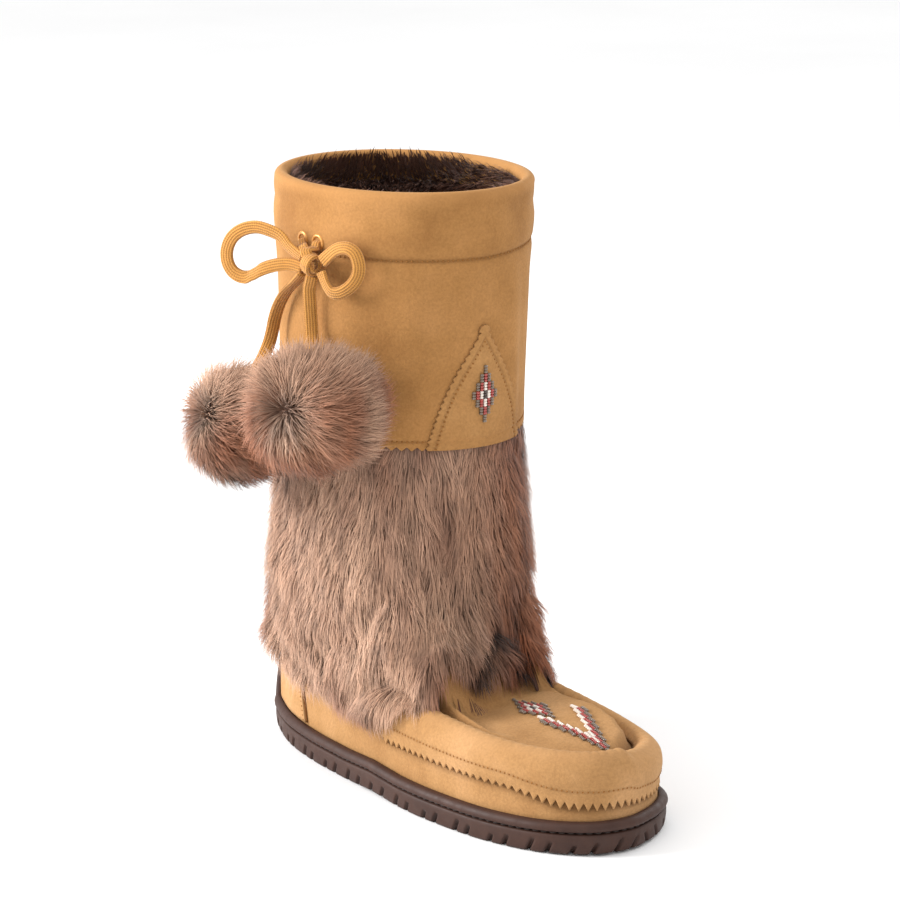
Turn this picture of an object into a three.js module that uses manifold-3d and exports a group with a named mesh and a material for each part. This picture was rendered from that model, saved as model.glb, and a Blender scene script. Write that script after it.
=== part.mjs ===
// A right-foot mukluk boot: a soft suede moccasin foot on a rubber cup sole, under a tall oval shaft
// with a band of rabbit fur, a suede cuff, a triangular patch, beadwork and a lace with two pompoms.
// Millimetres. X runs across the boot with its inner side at +X, Y runs along it with the toe at -Y,
// and Z is up from the floor.
import * as THREE from 'three';
import { mergeVertices } from 'three/addons/utils/BufferGeometryUtils.js';
import Module from 'manifold-3d';

const wasm = await Module();
wasm.setup();

// Foot and sole
const soleLength = 285;
const ballWidth = 104;
const soleSide = 16.7; // floor to the top of the rim
const trayFloor = 8; // rubber under the insole
const rimWall = 5; // rubber wall around the suede
const toeSpring = 1.2; // how far the toe of the sole leaves the floor
const lugDepth = 2.8;
const lugPitch = 24; // one pair of side notches and one sole groove
const notchHeight = 6;
const notchWidth = 2.3;
const notchReach = 6;
const guardHeight = 52; // floor to the top of the rubber heel guard
const guardWidth = 44;
const guardWall = 2.6;
const insoleThickness = 4;

// Upper
const upperWall = 3; // suede with its warm interlining
const rollHeight = 49; // floor to the crest of the moccasin roll at the toe
const rollClimb = 7; // how much higher the roll is at the throat
const throatBow = 4; // how far the inner side of the instep curves in
const innerDrop = 5.5; // how much lower the roll is on the inner side, beside the toes
const apronInset = 18; // sole's edge to the seam of the sunken apron
const ankleHeight = 118; // the height where the foot has become the shaft
const vampWall = 1.6;
const counterWall = 1.4;
const counterHeight = 60;
const counterReach = 62; // heel to the counter's front edge, at the sole

// Shaft, measured over the suede cuff
const bootHeight = 312;
const collarWidth = 126;
const collarDepth = 146;
const shaftBack = 17; // heel of the sole to the back of the cuff
const shaftInward = 4.3; // how far the shaft's middle stands to the inner side
const cuffWall = 1.6;
const cuffHem = 180; // floor to the pinked hem
const hemClimb = 4; // how much higher the hem is on the inner side
const cuffFold = 16; // the suede turned down inside the collar
const toothPitch = 5.8;
const toothDepth = 2.4;
const patchWidth = 60;
const patchHeight = 66;
const patchWall = 1.2;
const patchTurn = 0.8; // degrees from the front to the outer side

// Beadwork
const beadPitch = 2.1;
const beadRow = 4.4; // three beads, one above another
const beadHeight = 1.5;
const toeRow = 5.5; // four beads, one behind another
const toeTurn = -5; // degrees that the apron's beadwork turns, seen from above

// Fur
const furDepth = 10;
const furLock = 17;
const hemLock = 15;
const pomFrontRadius = 30;
const pomRearRadius = 27;
const pomLock = 11;

// Lace
const laceWidth = 6.8;
const laceThickness = 2;
const eyeletBore = 5;
const eyeletFlange = 8.4;
const eyeletHeight = 284;
const eyeletGap = 12;

const clearance = 0.3;
const meridianCount = 38;

// The sole's outline: along from the heel in shares of its length, and how far each side reaches from
// the long axis in shares of half the ball width.
const soleOutline = [
  { along: 0, outer: 0, inner: 0 },
  { along: 0.012, outer: 0.329, inner: 0.3 },
  { along: 0.04, outer: 0.499, inner: 0.52 },
  { along: 0.09, outer: 0.64, inner: 0.7 },
  { along: 0.16, outer: 0.787, inner: 0.779 },
  { along: 0.26, outer: 0.901, inner: 0.759 },
  { along: 0.38, outer: 0.969, inner: 0.698 },
  { along: 0.5, outer: 1.029, inner: 0.74 },
  { along: 0.62, outer: 1.066, inner: 0.864 },
  { along: 0.7, outer: 1.046, inner: 0.943 },
  { along: 0.78, outer: 0.995, inner: 0.976 },
  { along: 0.86, outer: 0.877, inner: 0.92 },
  { along: 0.92, outer: 0.723, inner: 0.78 },
  { along: 0.965, outer: 0.519, inner: 0.502 },
  { along: 0.99, outer: 0.318, inner: 0.221 },
  { along: 1, outer: 0, inner: 0 },
];

// How far the sole leaves the floor, in shares of the toe spring.
const soleLift = [
  { along: 0, lift: 2.5 },
  { along: 0.05, lift: 0.69 },
  { along: 0.1, lift: 0 },
  { along: 0.38, lift: 0 },
  { along: 0.47, lift: 1 },
  { along: 0.56, lift: 0 },
  { along: 0.8, lift: 0 },
  { along: 0.88, lift: 0.2 },
  { along: 0.95, lift: 0.62 },
  { along: 1, lift: 1 },
];

// The cup sole's side from the tread up and over into the tray: inset in shares of the rim wall, and
// height in shares of the sole's side.
const soleProfile = [
  { inset: 0.55, height: 0 },
  { inset: 0.2, height: 0.6 },
  { inset: 0.5, height: 0.635 },
  { inset: 0.5, height: 0.695 },
  { inset: 0.12, height: 0.73 },
  { inset: 0, height: 0.82 },
  { inset: 0.16, height: 0.93 },
  { inset: 0.52, height: 1 },
  { inset: 1, height: 0.97 },
];

// The moccasin foot from the vamp's pinked edge over the roll into the apron seam: inset in shares of
// the apron inset, and height in shares of the roll height.
const rollProfile = [
  { inset: 0.345, height: 0.59 },
  { inset: 0.27, height: 0.77 },
  { inset: 0.35, height: 0.92 },
  { inset: 0.61, height: 1 },
  { inset: 1, height: 0.94 },
];

// The apron and instep from the seam back and up to the shaft: travel in plan, and climb in height.
const instepProfile = [
  { travel: 0.38, climb: 0.015 },
  { travel: 0.66, climb: 0.075 },
  { travel: 0.86, climb: 0.28 },
  { travel: 0.96, climb: 0.6 },
  { travel: 1, climb: 1 },
];

// The heel and ankle: height in shares of the ankle height, and how far the wall has left the sole's
// outline for the shaft's oval.
const ankleProfile = [
  { height: 0.246, spread: 0 },
  { height: 0.33, spread: 0.02 },
  { height: 0.4, spread: 0.07 },
  { height: 0.46, spread: 0.15 },
  { height: 0.53, spread: 0.27 },
  { height: 0.61, spread: 0.42 },
  { height: 0.69, spread: 0.58 },
  { height: 0.78, spread: 0.75 },
  { height: 0.88, spread: 0.9 },
  { height: 1, spread: 1 },
];

// The shaft's oval: height in shares of the boot's height, size in shares of the collar's, and shift
// of its middle in shares of the shaft's width.
const shaftSections = [
  { height: 0, size: 0.94, outward: 0.018, back: 0.012 },
  { height: 0.577, size: 0.953, outward: 0.0135, back: 0.01 },
  { height: 1, size: 1, outward: 0, back: 0 },
];

// The fur's hem around the foot, by where the meridian starts on the sole: the row of the upper that
// the hem follows.
const furHem = [
  { along: 0, row: 4.3 },
  { along: 0.25, row: 3.9 },
  { along: 0.42, row: 3.1 },
  { along: 0.5, row: 3.1 },
  { along: 0.56, row: 4.1 },
  { along: 0.61, row: 5.4 },
  { along: 0.68, row: 6.7 },
  { along: 0.78, row: 7.6 },
  { along: 1, row: 8.2 },
];

// The fur's depth from its hem up to the cuff, in shares of the fur's depth.
const furProfile = [
  { up: 0, depth: 0.75 },
  { up: 0.1, depth: 1.15 },
  { up: 0.28, depth: 1.1 },
  { up: 0.55, depth: 0.92 },
  { up: 0.85, depth: 0.72 },
  { up: 1, depth: 0.3 },
];

// Interpolates a table's column at a place along its key column.
function look(table, key, column, at) {
  const next = table.findIndex((row) => row[key] >= at);
  if (next < 0) return table[table.length - 1][column];
  if (next === 0) return table[0][column];
  const [low, high] = [table[next - 1], table[next]];
  const share = (at - low[key]) / (high[key] - low[key]);
  return THREE.MathUtils.lerp(low[column], high[column], share);
}

const scatter = (n) => {
  const raw = Math.sin(n * 12.9898) * 43758.5453;
  return raw - Math.floor(raw);
};

// Solids are gathered as triangles, with the corners in order.
function geometryOf(triangles) {
  const positions = new Float32Array(triangles.length * 3);
  triangles.forEach((corner, i) => corner.toArray(positions, i * 3));
  const geometry = new THREE.BufferGeometry();
  geometry.setAttribute('position', new THREE.BufferAttribute(positions, 3));
  return mergeVertices(geometry, 1e-4);
}

function solidOf(geometry) {
  const bare = geometry.clone();
  bare.deleteAttribute('normal');
  bare.deleteAttribute('uv');
  const merged = mergeVertices(bare, 1e-4);
  return new wasm.Manifold(new wasm.Mesh({
    numProp: 3,
    vertProperties: merged.attributes.position.array,
    triVerts: new Uint32Array(merged.index.array),
  }));
}

// The main body of a solid, without crumbs and pockets that a cut leaves
function geometryFrom(solid) {
  const main = solid.decompose().reduce((best, one) => (one.volume() > best.volume() ? one : best));
  const { vertProperties, triVerts } = main.getMesh();
  const geometry = new THREE.BufferGeometry();
  geometry.setAttribute('position', new THREE.BufferAttribute(new Float32Array(vertProperties), 3));
  geometry.setIndex(new THREE.BufferAttribute(new Uint32Array(triVerts), 1));
  geometry.computeVertexNormals();
  return geometry;
}

// A line of points, each with its place along the line from 0 to 1.
const line = (points, places) => ({
  points,
  places: places ?? points.map((_, i) => i / (points.length - 1)),
});
const closed = (points, places) => line(
  [...points, points[0]],
  places ? [...places, 1] : [...points, points[0]].map((_, i) => i / points.length),
);

// Fills the strip between two lines, with as many points as each has. It faces away from the boot, or
// into it.
function strip(triangles, low, high, facingIn = false) {
  let [i, j] = [0, 0];
  const add = (a, b, c) => {
    const apart = (p, q) => p.distanceToSquared(q) > 1e-10;
    if (apart(a, b) && apart(b, c) && apart(c, a)) triangles.push(a, ...(facingIn ? [c, b] : [b, c]));
  };
  while (i < low.points.length - 1 || j < high.points.length - 1) {
    const lowNext = low.places[i + 1] ?? Infinity;
    const highNext = high.places[j + 1] ?? Infinity;
    if (lowNext <= highNext) {
      add(low.points[i], high.points[j], low.points[i + 1]);
      i += 1;
    } else {
      add(low.points[i], high.points[j], high.points[j + 1]);
      j += 1;
    }
  }
}

// A wall between an outer and an inner sheet of lines, both from the bottom up
function wall(outside, inside) {
  const triangles = [];
  for (let i = 1; i < outside.length; i += 1) strip(triangles, outside[i - 1], outside[i]);
  for (let i = 1; i < inside.length; i += 1) strip(triangles, inside[i - 1], inside[i], true);
  strip(triangles, inside[0], outside[0]);
  strip(triangles, outside[outside.length - 1], inside[inside.length - 1]);
  return triangles;
}

// Closes a ring of the boot by rungs from its outer side to its inner side.
function rungs(triangles, ring, facingUp) {
  const count = ring.length;
  const ys = ring.map((p) => p.y);
  const toe = ys.indexOf(Math.min(...ys));
  const heel = ys.indexOf(Math.max(...ys));
  const walk = (step) => {
    const chain = [];
    for (let i = toe; ; i = (i + step + count) % count) {
      chain.push(ring[i]);
      if (i === heel) break;
    }
    const span = ring[heel].y - ring[toe].y;
    return line(chain, chain.map((p, i) => (p.y - ring[toe].y) / span + i * 1e-6));
  };
  const [outer, inner] = [walk(1), walk(-1)];
  if (facingUp) strip(triangles, outer, inner);
  else strip(triangles, inner, outer);
}

// The sole's outline, walked from the toe along the outer side to the heel and back.
const halfBall = ballWidth / 2;
const alongY = (along) => soleLength * (0.5 - along);
const yAlong = (y) => 0.5 - y / soleLength;
const outlineCurve = new THREE.CatmullRomCurve3([
  ...soleOutline.map((row) => new THREE.Vector3(-row.outer * halfBall, alongY(row.along), 0)).reverse(),
  ...soleOutline.slice(1, -1).map((row) => new THREE.Vector3(row.inner * halfBall, alongY(row.along), 0)),
], true, 'centripetal');
outlineCurve.arcLengthDivisions = 1600;

const shaftMiddle = new THREE.Vector2(shaftInward, soleLength / 2 - shaftBack - collarDepth / 2);
const aroundShaft = ({ x, y }) => Math.atan2(shaftMiddle.x - x, shaftMiddle.y - y);
const turned = (to, from) => Math.abs(Math.atan2(Math.sin(to - from), Math.cos(to - from)));

// Meridians climb from the outline to the collar. They are spread by the outline's length, by how it
// turns, and by the angle around the shaft.
function spreadMeridians(count) {
  const fine = 880;
  const samples = [];
  for (let i = 0; i < fine; i += 1) {
    const tangent = outlineCurve.getTangentAt(i / fine);
    const polar = aroundShaft(outlineCurve.getPointAt(i / fine));
    samples.push({ at: i / fine, heading: Math.atan2(tangent.y, tangent.x), polar });
  }
  let sum = 0;
  const sums = samples.map((sample, i) => {
    const before = samples[(i + fine - 1) % fine];
    const turn = turned(sample.heading, before.heading) + 1.6 * turned(sample.polar, before.polar);
    sum += i === 0 ? 0 : 1.6 / fine + (0.35 * turn) / (2 * Math.PI);
    return sum;
  });
  const result = [];
  for (let m = 0; m < count; m += 1) {
    const wanted = (sum * m) / count;
    const place = samples[Math.max(0, sums.findIndex((value) => value >= wanted - 1e-9))].at;
    const foot = outlineCurve.getPointAt(place);
    const tangent = outlineCurve.getTangentAt(place);
    result.push({ foot, normal: new THREE.Vector3(-tangent.y, tangent.x, 0) });
  }
  return result;
}

const meridians = spreadMeridians(meridianCount);
meridians.forEach((meridian, m) => {
  const polar = aroundShaft(meridian.foot);
  const even = (2 * Math.PI * m) / meridianCount;
  const unwrapped = polar + 2 * Math.PI * Math.round((even - polar) / (2 * Math.PI));
  meridian.angle = THREE.MathUtils.lerp(unwrapped, even, 0.12);
  meridian.along = yAlong(meridian.foot.y);
  meridian.lift = toeSpring * look(soleLift, 'along', 'lift', meridian.along);
});

const soleRing = (inset, height) => meridians.map(({ foot, normal, lift }) => (
  foot.clone().addScaledVector(normal, -inset).setZ(height + lift)
));

// The cuff's oval at a height, brought in by what the cuff stands off the upper.
const cuffStand = clearance + cuffWall;
function shaftPoint(angle, height) {
  const share = height / bootHeight;
  const size = look(shaftSections, 'height', 'size', share);
  const outward = look(shaftSections, 'height', 'outward', share) * collarWidth;
  const back = look(shaftSections, 'height', 'back', share) * collarWidth;
  const halfWidth = (size * collarWidth) / 2 - cuffStand;
  const halfDepth = (size * collarDepth) / 2 - cuffStand;
  return new THREE.Vector3(
    shaftMiddle.x - outward - halfWidth * Math.sin(angle),
    shaftMiddle.y + back - halfDepth * Math.cos(angle),
    height,
  );
}

const hemHeight = (angle) => cuffHem + hemClimb * Math.max(0, -Math.sin(angle));
const collarTop = bootHeight - cuffStand - cuffWall - clearance;
const featherInset = rimWall + clearance;
const featherHeight = trayFloor + clearance;
const throatFront = alongY(0.65);
const throatBack = alongY(0.44);
const dropFront = alongY(0.868);
const dropBack = alongY(0.535);

// The outer face of the upper along one meridian, from the feather edge to the collar.
function meridianRows({ foot, normal, angle, lift }) {
  const inward = (inset, height) => foot.clone().addScaledVector(normal, -inset).setZ(height);
  const front = 1 - THREE.MathUtils.smoothstep(foot.y, throatFront, throatBack);
  const climb = rollClimb * THREE.MathUtils.smoothstep(foot.y, alongY(0.9), throatBack);
  const ankle = shaftPoint(angle, ankleHeight);
  const innerSide = THREE.MathUtils.smoothstep(normal.x, 0, 0.6);
  const pinch = 1 - 0.45 * innerSide * THREE.MathUtils.smoothstep(foot.y, alongY(0.76), throatBack);
  const seamRow = rollProfile[rollProfile.length - 1];
  const roll = rollHeight - innerDrop * innerSide * (1 - THREE.MathUtils.smoothstep(foot.y, dropFront, dropBack));
  const seam = inward(seamRow.inset * apronInset * pinch, seamRow.height * roll + climb);
  // The instep lies flat where it runs back from the toe, and is steep where it leaves the foot's side.
  const leaving = ankle.clone().sub(seam).setZ(0).normalize().dot(normal);
  const steep = THREE.MathUtils.smoothstep(leaving, 0.5 * innerSide - 0.75, 0.22 * innerSide + 0.25);
  const forefoot = [
    ...rollProfile.map((row, i) => inward(
      row.inset * apronInset * (i > 2 ? pinch : 1),
      row.height * roll + (climb * (i + 1)) / rollProfile.length + lift * (1 - row.height),
    )),
    ...instepProfile.map((row) => seam.clone().lerp(ankle, row.travel)
      .addScaledVector(normal, -4 * throatBow * innerSide * row.travel * (1 - row.travel))
      .setZ(THREE.MathUtils.lerp(seam.z, ankle.z, THREE.MathUtils.lerp(row.climb, row.travel, steep)))),
  ];
  const rear = ankleProfile.map((row) => inward(featherInset, 0).lerp(ankle, row.spread)
    .setZ(row.height * ankleHeight));
  return [
    inward(featherInset, featherHeight + lift),
    inward(featherInset, soleSide + lift),
    ...rear.map((point, i) => point.clone().lerp(forefoot[i], front)),
    shaftPoint(angle, hemHeight(angle)),
    shaftPoint(angle, collarTop),
  ];
}

const upperGrid = meridians.map(meridianRows);
const rowCount = upperGrid[0].length;
const ankleRow = rowCount - 3;
const hemRow = rowCount - 2;
const collarRow = rowCount - 1;
const pinkRow = 2;
const seamRow = pinkRow + rollProfile.length - 1;

const bisector = (from, at, to) => (
  at.clone().sub(from).normalize().add(to.clone().sub(at).normalize())
);
const upperNormals = upperGrid.map((column, m) => column.map((_, k) => {
  const next = upperGrid[(m + 1) % meridianCount][k];
  const before = upperGrid[(m + meridianCount - 1) % meridianCount][k];
  const above = column[Math.min(k + 1, collarRow)];
  const below = column[Math.max(k - 1, 0)];
  const normal = bisector(below, column[k], above).cross(bisector(before, column[k], next)).normalize();
  if (k === 0 || k === collarRow) normal.setZ(0).normalize();
  return normal;
}));

// A point that stands off the upper's outer face, between its meridians and rows.
function onUpper(m, k, stand) {
  const corner = (mi, ki) => {
    const column = ((mi % meridianCount) + meridianCount) % meridianCount;
    const row = Math.min(ki, collarRow);
    return upperGrid[column][row].clone().addScaledVector(upperNormals[column][row], stand);
  };
  const [m0, k0] = [Math.floor(m), Math.floor(k)];
  const low = corner(m0, k0).lerp(corner(m0 + 1, k0), m - m0);
  if (k === k0) return low;
  return low.lerp(corner(m0, k0 + 1).lerp(corner(m0 + 1, k0 + 1), m - m0), k - k0);
}

const upperRing = (k, stand) => meridians.map((_, m) => onUpper(m, k, stand));

// The meridian, with its fraction, at an angle around the shaft from the front to the outer side.
function meridianAt(angle) {
  const around = ((angle % (2 * Math.PI)) + 2 * Math.PI) % (2 * Math.PI);
  for (let m = 0; m < meridianCount; m += 1) {
    const from = meridians[m].angle;
    const to = m + 1 < meridianCount ? meridians[m + 1].angle : meridians[0].angle + 2 * Math.PI;
    for (const a of [around, around + 2 * Math.PI]) {
      if (a >= from && a < to) return m + (a - from) / (to - from);
    }
  }
  return 0;
}

const rowAtHeight = (height) => hemRow + (height - cuffHem) / (collarTop - cuffHem);
const onShaft = (angle, height, stand) => onUpper(meridianAt(angle), rowAtHeight(height), stand);

// The upper's form, filled and grown by a stand-off, for cutting what lies over it.
function upperForm(stand, fromRow = 0, toRow = collarRow) {
  const triangles = [];
  const rings = [];
  for (let k = fromRow; k <= toRow; k += 1) rings.push(upperRing(k, stand));
  for (let k = 1; k < rings.length; k += 1) strip(triangles, closed(rings[k - 1]), closed(rings[k]));
  rungs(triangles, rings[0], false);
  rungs(triangles, rings[rings.length - 1], true);
  return solidOf(geometryOf(triangles));
}

const layer = (stand, thickness, fromRow, toRow) => (
  upperForm(stand + thickness, fromRow, toRow).subtract(upperForm(stand, fromRow, toRow))
);

// A flat outline made solid towards +Z. It is filled from its middle, which sees every corner.
function prism(points, depth) {
  const outline = THREE.ShapeUtils.isClockWise(points) ? [...points].reverse() : points;
  const middle = outline.reduce((sum, p) => sum.add(p), new THREE.Vector2()).divideScalar(outline.length);
  const at = (p, z) => new THREE.Vector3(p.x, p.y, z);
  const triangles = [];
  outline.forEach((p, i) => {
    const next = outline[(i + 1) % outline.length];
    triangles.push(at(middle, 0), at(next, 0), at(p, 0), at(middle, depth), at(p, depth), at(next, depth));
    triangles.push(at(p, 0), at(next, 0), at(next, depth), at(p, 0), at(next, depth), at(p, depth));
  });
  return geometryOf(triangles);
}

// Rubber cup sole
function makeOutsole() {
  const triangles = [];
  const rings = soleProfile.map((row) => soleRing(row.inset * rimWall, row.height * soleSide));
  rings.push(soleRing(rimWall, trayFloor));
  for (let i = 1; i < rings.length; i += 1) strip(triangles, closed(rings[i - 1]), closed(rings[i]));
  rungs(triangles, rings[0], false);
  rungs(triangles, rings[rings.length - 1], true);
  let sole = solidOf(geometryOf(triangles));
  sole = sole.add(makeHeelGuard());
  return geometryFrom(cutTread(sole));
}

// The rubber tab that climbs the back of the heel
const guardStand = 2 * clearance + counterWall;
function guardTab(grow) {
  const half = guardWidth / 2 + grow;
  const rimTop = soleSide + toeSpring * soleLift[0].lift;
  const low = 0.7 * soleSide;
  const outline = [new THREE.Vector2(-1.4 * half, low), new THREE.Vector2(1.4 * half, low)];
  for (let i = 0; i <= 6; i += 1) {
    const angle = (Math.PI * i) / 6;
    outline.push(new THREE.Vector2(
      half * Math.cos(angle) * (1 + 0.35 * (1 - Math.sin(angle)) ** 2),
      rimTop + (guardHeight + grow - rimTop) * Math.sin(angle),
    ));
  }
  return solidOf(prism(outline, soleLength / 4).rotateX(Math.PI / 2).translate(0, alongY(0) + furDepth, 0));
}

const makeHeelGuard = () => layer(guardStand, guardWall, 0, 6).intersect(guardTab(0));

// Side notches in pairs, and a groove across the tread for each pair
function cutTread(sole) {
  let result = sole;
  const around = outlineCurve.getLength();
  const pairs = Math.round(around / lugPitch);
  for (let i = 0; i < pairs; i += 1) {
    for (const shift of [0, 0.4]) {
      const place = ((i + shift) / pairs) % 1;
      const foot = outlineCurve.getPointAt(place);
      const tangent = outlineCurve.getTangentAt(place);
      const lift = toeSpring * look(soleLift, 'along', 'lift', yAlong(foot.y));
      const notch = new THREE.BoxGeometry(notchWidth, 2 * notchReach, 2 * notchHeight)
        .rotateY(shift ? -0.35 : 0.35)
        .rotateZ(Math.atan2(tangent.y, tangent.x))
        .translate(foot.x, foot.y, lift);
      result = result.subtract(solidOf(notch));
    }
  }
  const grooves = Math.floor((0.84 * soleLength) / lugPitch);
  for (let i = 0; i < grooves; i += 1) {
    const along = 0.08 + (0.84 * (i + 0.5)) / grooves;
    const outer = look(soleOutline, 'along', 'outer', along) * halfBall - rimWall - notchReach;
    const inner = look(soleOutline, 'along', 'inner', along) * halfBall - rimWall - notchReach;
    const lift = toeSpring * look(soleLift, 'along', 'lift', along);
    const groove = new THREE.BoxGeometry(outer + inner, notchWidth, 2 * lugDepth)
      .translate((inner - outer) / 2, alongY(along), lift);
    result = result.subtract(solidOf(groove));
  }
  return result;
}

function makeInsole() {
  const triangles = [];
  const inset = featherInset + upperWall + clearance;
  const low = soleRing(inset, trayFloor + clearance);
  const high = soleRing(inset, trayFloor + clearance + insoleThickness);
  strip(triangles, closed(low), closed(high));
  rungs(triangles, low, false);
  rungs(triangles, high, true);
  return geometryOf(triangles);
}

// One hollow wall, open at the collar and under the foot
function makeUpper() {
  const sheet = (stand) => upperGrid[0].map((_, k) => closed(upperRing(k, stand)));
  return geometryOf(wall(sheet(0), sheet(-upperWall)));
}

// A row of pinked teeth between two meridians, as fractions of the way between them
function teeth(from, to, row, depthInRows, stand, pitch, isRing) {
  const count = 2 * Math.max(2, Math.round(rowLength(from, to, row) / pitch));
  const points = [];
  const places = [];
  for (let i = 0; i < count + (isRing ? 0 : 1); i += 1) {
    const m = from + ((to - from) * placeByLength(from, to, row, i / count));
    points.push(onUpper(m, row + (i % 2) * depthInRows, stand));
    places.push((m - from) / (to - from));
  }
  return isRing ? closed(points, places) : line(points, places);
}

const stepLength = (m, to, row) => onUpper(m, row, 0).distanceTo(onUpper(Math.min(m + 1, to), row, 0));

function rowLength(from, to, row) {
  let length = 0;
  for (let m = from; m < to; m += 1) length += stepLength(m, to, row);
  return length;
}

// The share of the meridians at a share of the row's length
function placeByLength(from, to, row, share) {
  const wanted = share * rowLength(from, to, row);
  let length = 0;
  for (let m = from; m < to; m += 1) {
    const step = stepLength(m, to, row);
    if (length + step >= wanted) return (m - from + (wanted - length) / step) / (to - from);
    length += step;
  }
  return 1;
}

// The vamp: suede rolled over the edge of the foot, pinked below and sewn into the apron seam. With
// room around it, it is the space that the fur leaves for it.
function makeVamp(room = 0) {
  const reach = meridians.findIndex(({ foot }) => foot.y > alongY(0.5));
  const back = meridians.findLastIndex(({ foot }) => foot.y > alongY(0.5)) - meridianCount + 1;
  const [low, high] = [clearance - room, clearance + vampWall + room];
  const across = (row, stand) => {
    const points = [];
    for (let m = back; m <= reach; m += 1) points.push(onUpper(m, row, stand));
    return line(points);
  };
  const depth = toothDepth / (rollHeight * (rollProfile[1].height - rollProfile[0].height));
  const edge = (stand) => teeth(back, reach, pinkRow, depth, stand, toothPitch - 0.3, false);
  const outside = [edge(high)];
  const inside = [edge(low)];
  for (let k = pinkRow; k <= seamRow; k += 1) {
    const row = k === pinkRow ? k + depth + 0.08 : k;
    const slack = clearance * (k === seamRow ? 1.5 : 0.5);
    outside.push(across(row, high));
    inside.push(across(row, low + slack));
  }
  const triangles = wall(outside, inside);
  for (const last of [false, true]) {
    const end = (one) => one.points[last ? one.points.length - 1 : 0];
    strip(triangles, line(inside.map(end)), line(outside.map(end)), !last);
  }
  return geometryOf(triangles);
}

function makeCounter() {
  const top = counterHeight;
  const rim = soleSide + 2 * clearance;
  const front = alongY(0) - counterReach;
  const back = alongY(0) + 5;
  const side = [
    new THREE.Vector2(front, rim),
    ...[0.12, 0.06, 0].map((along) => (
      new THREE.Vector2(alongY(along), rim + toeSpring * look(soleLift, 'along', 'lift', along))
    )),
    new THREE.Vector2(back, rim + toeSpring * look(soleLift, 'along', 'lift', 0)),
    new THREE.Vector2(back, top),
    new THREE.Vector2(front + 12, top),
  ];
  const width = 2 * ballWidth;
  const cut = prism(side, width).applyMatrix4(new THREE.Matrix4().makeBasis(
    new THREE.Vector3(0, 1, 0), new THREE.Vector3(0, 0, 1), new THREE.Vector3(1, 0, 0),
  )).translate(-width / 2, 0, 0);
  return geometryFrom(layer(clearance, counterWall, 0, 8).intersect(solidOf(cut)));
}

// Suede cuff, turned over the collar, with a pinked hem and two eyelet holes
function makeCuff() {
  const [low, high] = [clearance, cuffStand];
  const inner = -upperWall - clearance;
  const deep = inner - cuffWall;
  const toothRows = toothDepth / (collarTop - cuffHem);
  const hem = (stand) => teeth(0, meridianCount, hemRow, toothRows, stand, toothPitch, true);
  const ring = (height, stand) => closed(meridians.map((_, m) => (
    onUpper(m, Math.min(rowAtHeight(height), collarRow), stand).setZ(height)
  )));
  const bandRow = hemRow + toothRows * 1.8;
  const middle = (high + deep) / 2;
  const round = (high - deep) / 2;
  const outside = [
    hem(high),
    closed(upperRing(bandRow, high)),
    ...[0, 40, 90, 140, 180].map((degrees) => {
      const angle = THREE.MathUtils.degToRad(degrees);
      return ring(bootHeight - round + round * Math.sin(angle), middle + round * Math.cos(angle));
    }),
    ring(bootHeight - cuffFold, deep),
  ];
  const inside = [
    hem(low),
    closed(upperRing(bandRow, low)),
    ring(collarTop + clearance, low),
    ring(collarTop + clearance, inner),
    ring(bootHeight - cuffFold, inner),
  ];
  let cuff = solidOf(geometryOf(wall(outside, inside)));
  for (const { place, outward } of eyelets) {
    const bore = eyeletBarrel + clearance;
    const drill = new THREE.CylinderGeometry(bore, bore, 4 * cuffWall, 10);
    cuff = cuff.subtract(solidOf(stood(drill, place, outward)));
  }
  return geometryFrom(cuff);
}

// Turns a shape's own +Y to a direction and moves it to a place.
function stood(geometry, place, direction) {
  const turn = new THREE.Quaternion().setFromUnitVectors(new THREE.Vector3(0, 1, 0), direction);
  return geometry.applyQuaternion(turn).translate(...place);
}

const eyeletBarrel = eyeletBore / 2 + 0.5;
const sideAngle = Math.PI / 2;
const eyeletTurn = eyeletGap / (collarDepth / 2);
const eyelets = [
  { name: 'eyelet_rear', angle: sideAngle },
  { name: 'eyelet_front', angle: sideAngle - eyeletTurn },
].map(({ name, angle }) => {
  const place = onShaft(angle, eyeletHeight, cuffStand);
  const beside = onShaft(angle + 0.05, eyeletHeight, cuffStand);
  const outward = place.clone().sub(beside).cross(new THREE.Vector3(0, 0, 1)).normalize();
  return { name, place, outward };
});

function makeEyelet({ place, outward }) {
  const bore = eyeletBore / 2;
  const flange = eyeletFlange / 2;
  const profile = [
    [bore, -cuffWall], [eyeletBarrel, -cuffWall], [eyeletBarrel, clearance], [flange, clearance],
    [flange - 0.3, clearance + 0.7], [bore + 0.4, clearance + 1], [bore, clearance + 0.6], [bore, -cuffWall],
  ].map(([radius, height]) => new THREE.Vector2(radius, height));
  return stood(new THREE.LatheGeometry(profile, 10), place, outward);
}

// The patch on the front of the cuff: a triangle with two pinked sides
const patchAngle = THREE.MathUtils.degToRad(patchTurn);
const patchMiddle = onShaft(patchAngle, cuffHem + patchHeight / 2, cuffStand);

// Shapes drawn in X and Y, with their depth along Z, pushed through the front of the shaft
const frontDepth = 40;
const throughFront = (drawn) => solidOf(drawn
  .rotateX(Math.PI / 2)
  .translate(0, frontDepth / 2, 0)
  .rotateZ(-patchAngle)
  .translate(patchMiddle.x, patchMiddle.y, 0));

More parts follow.
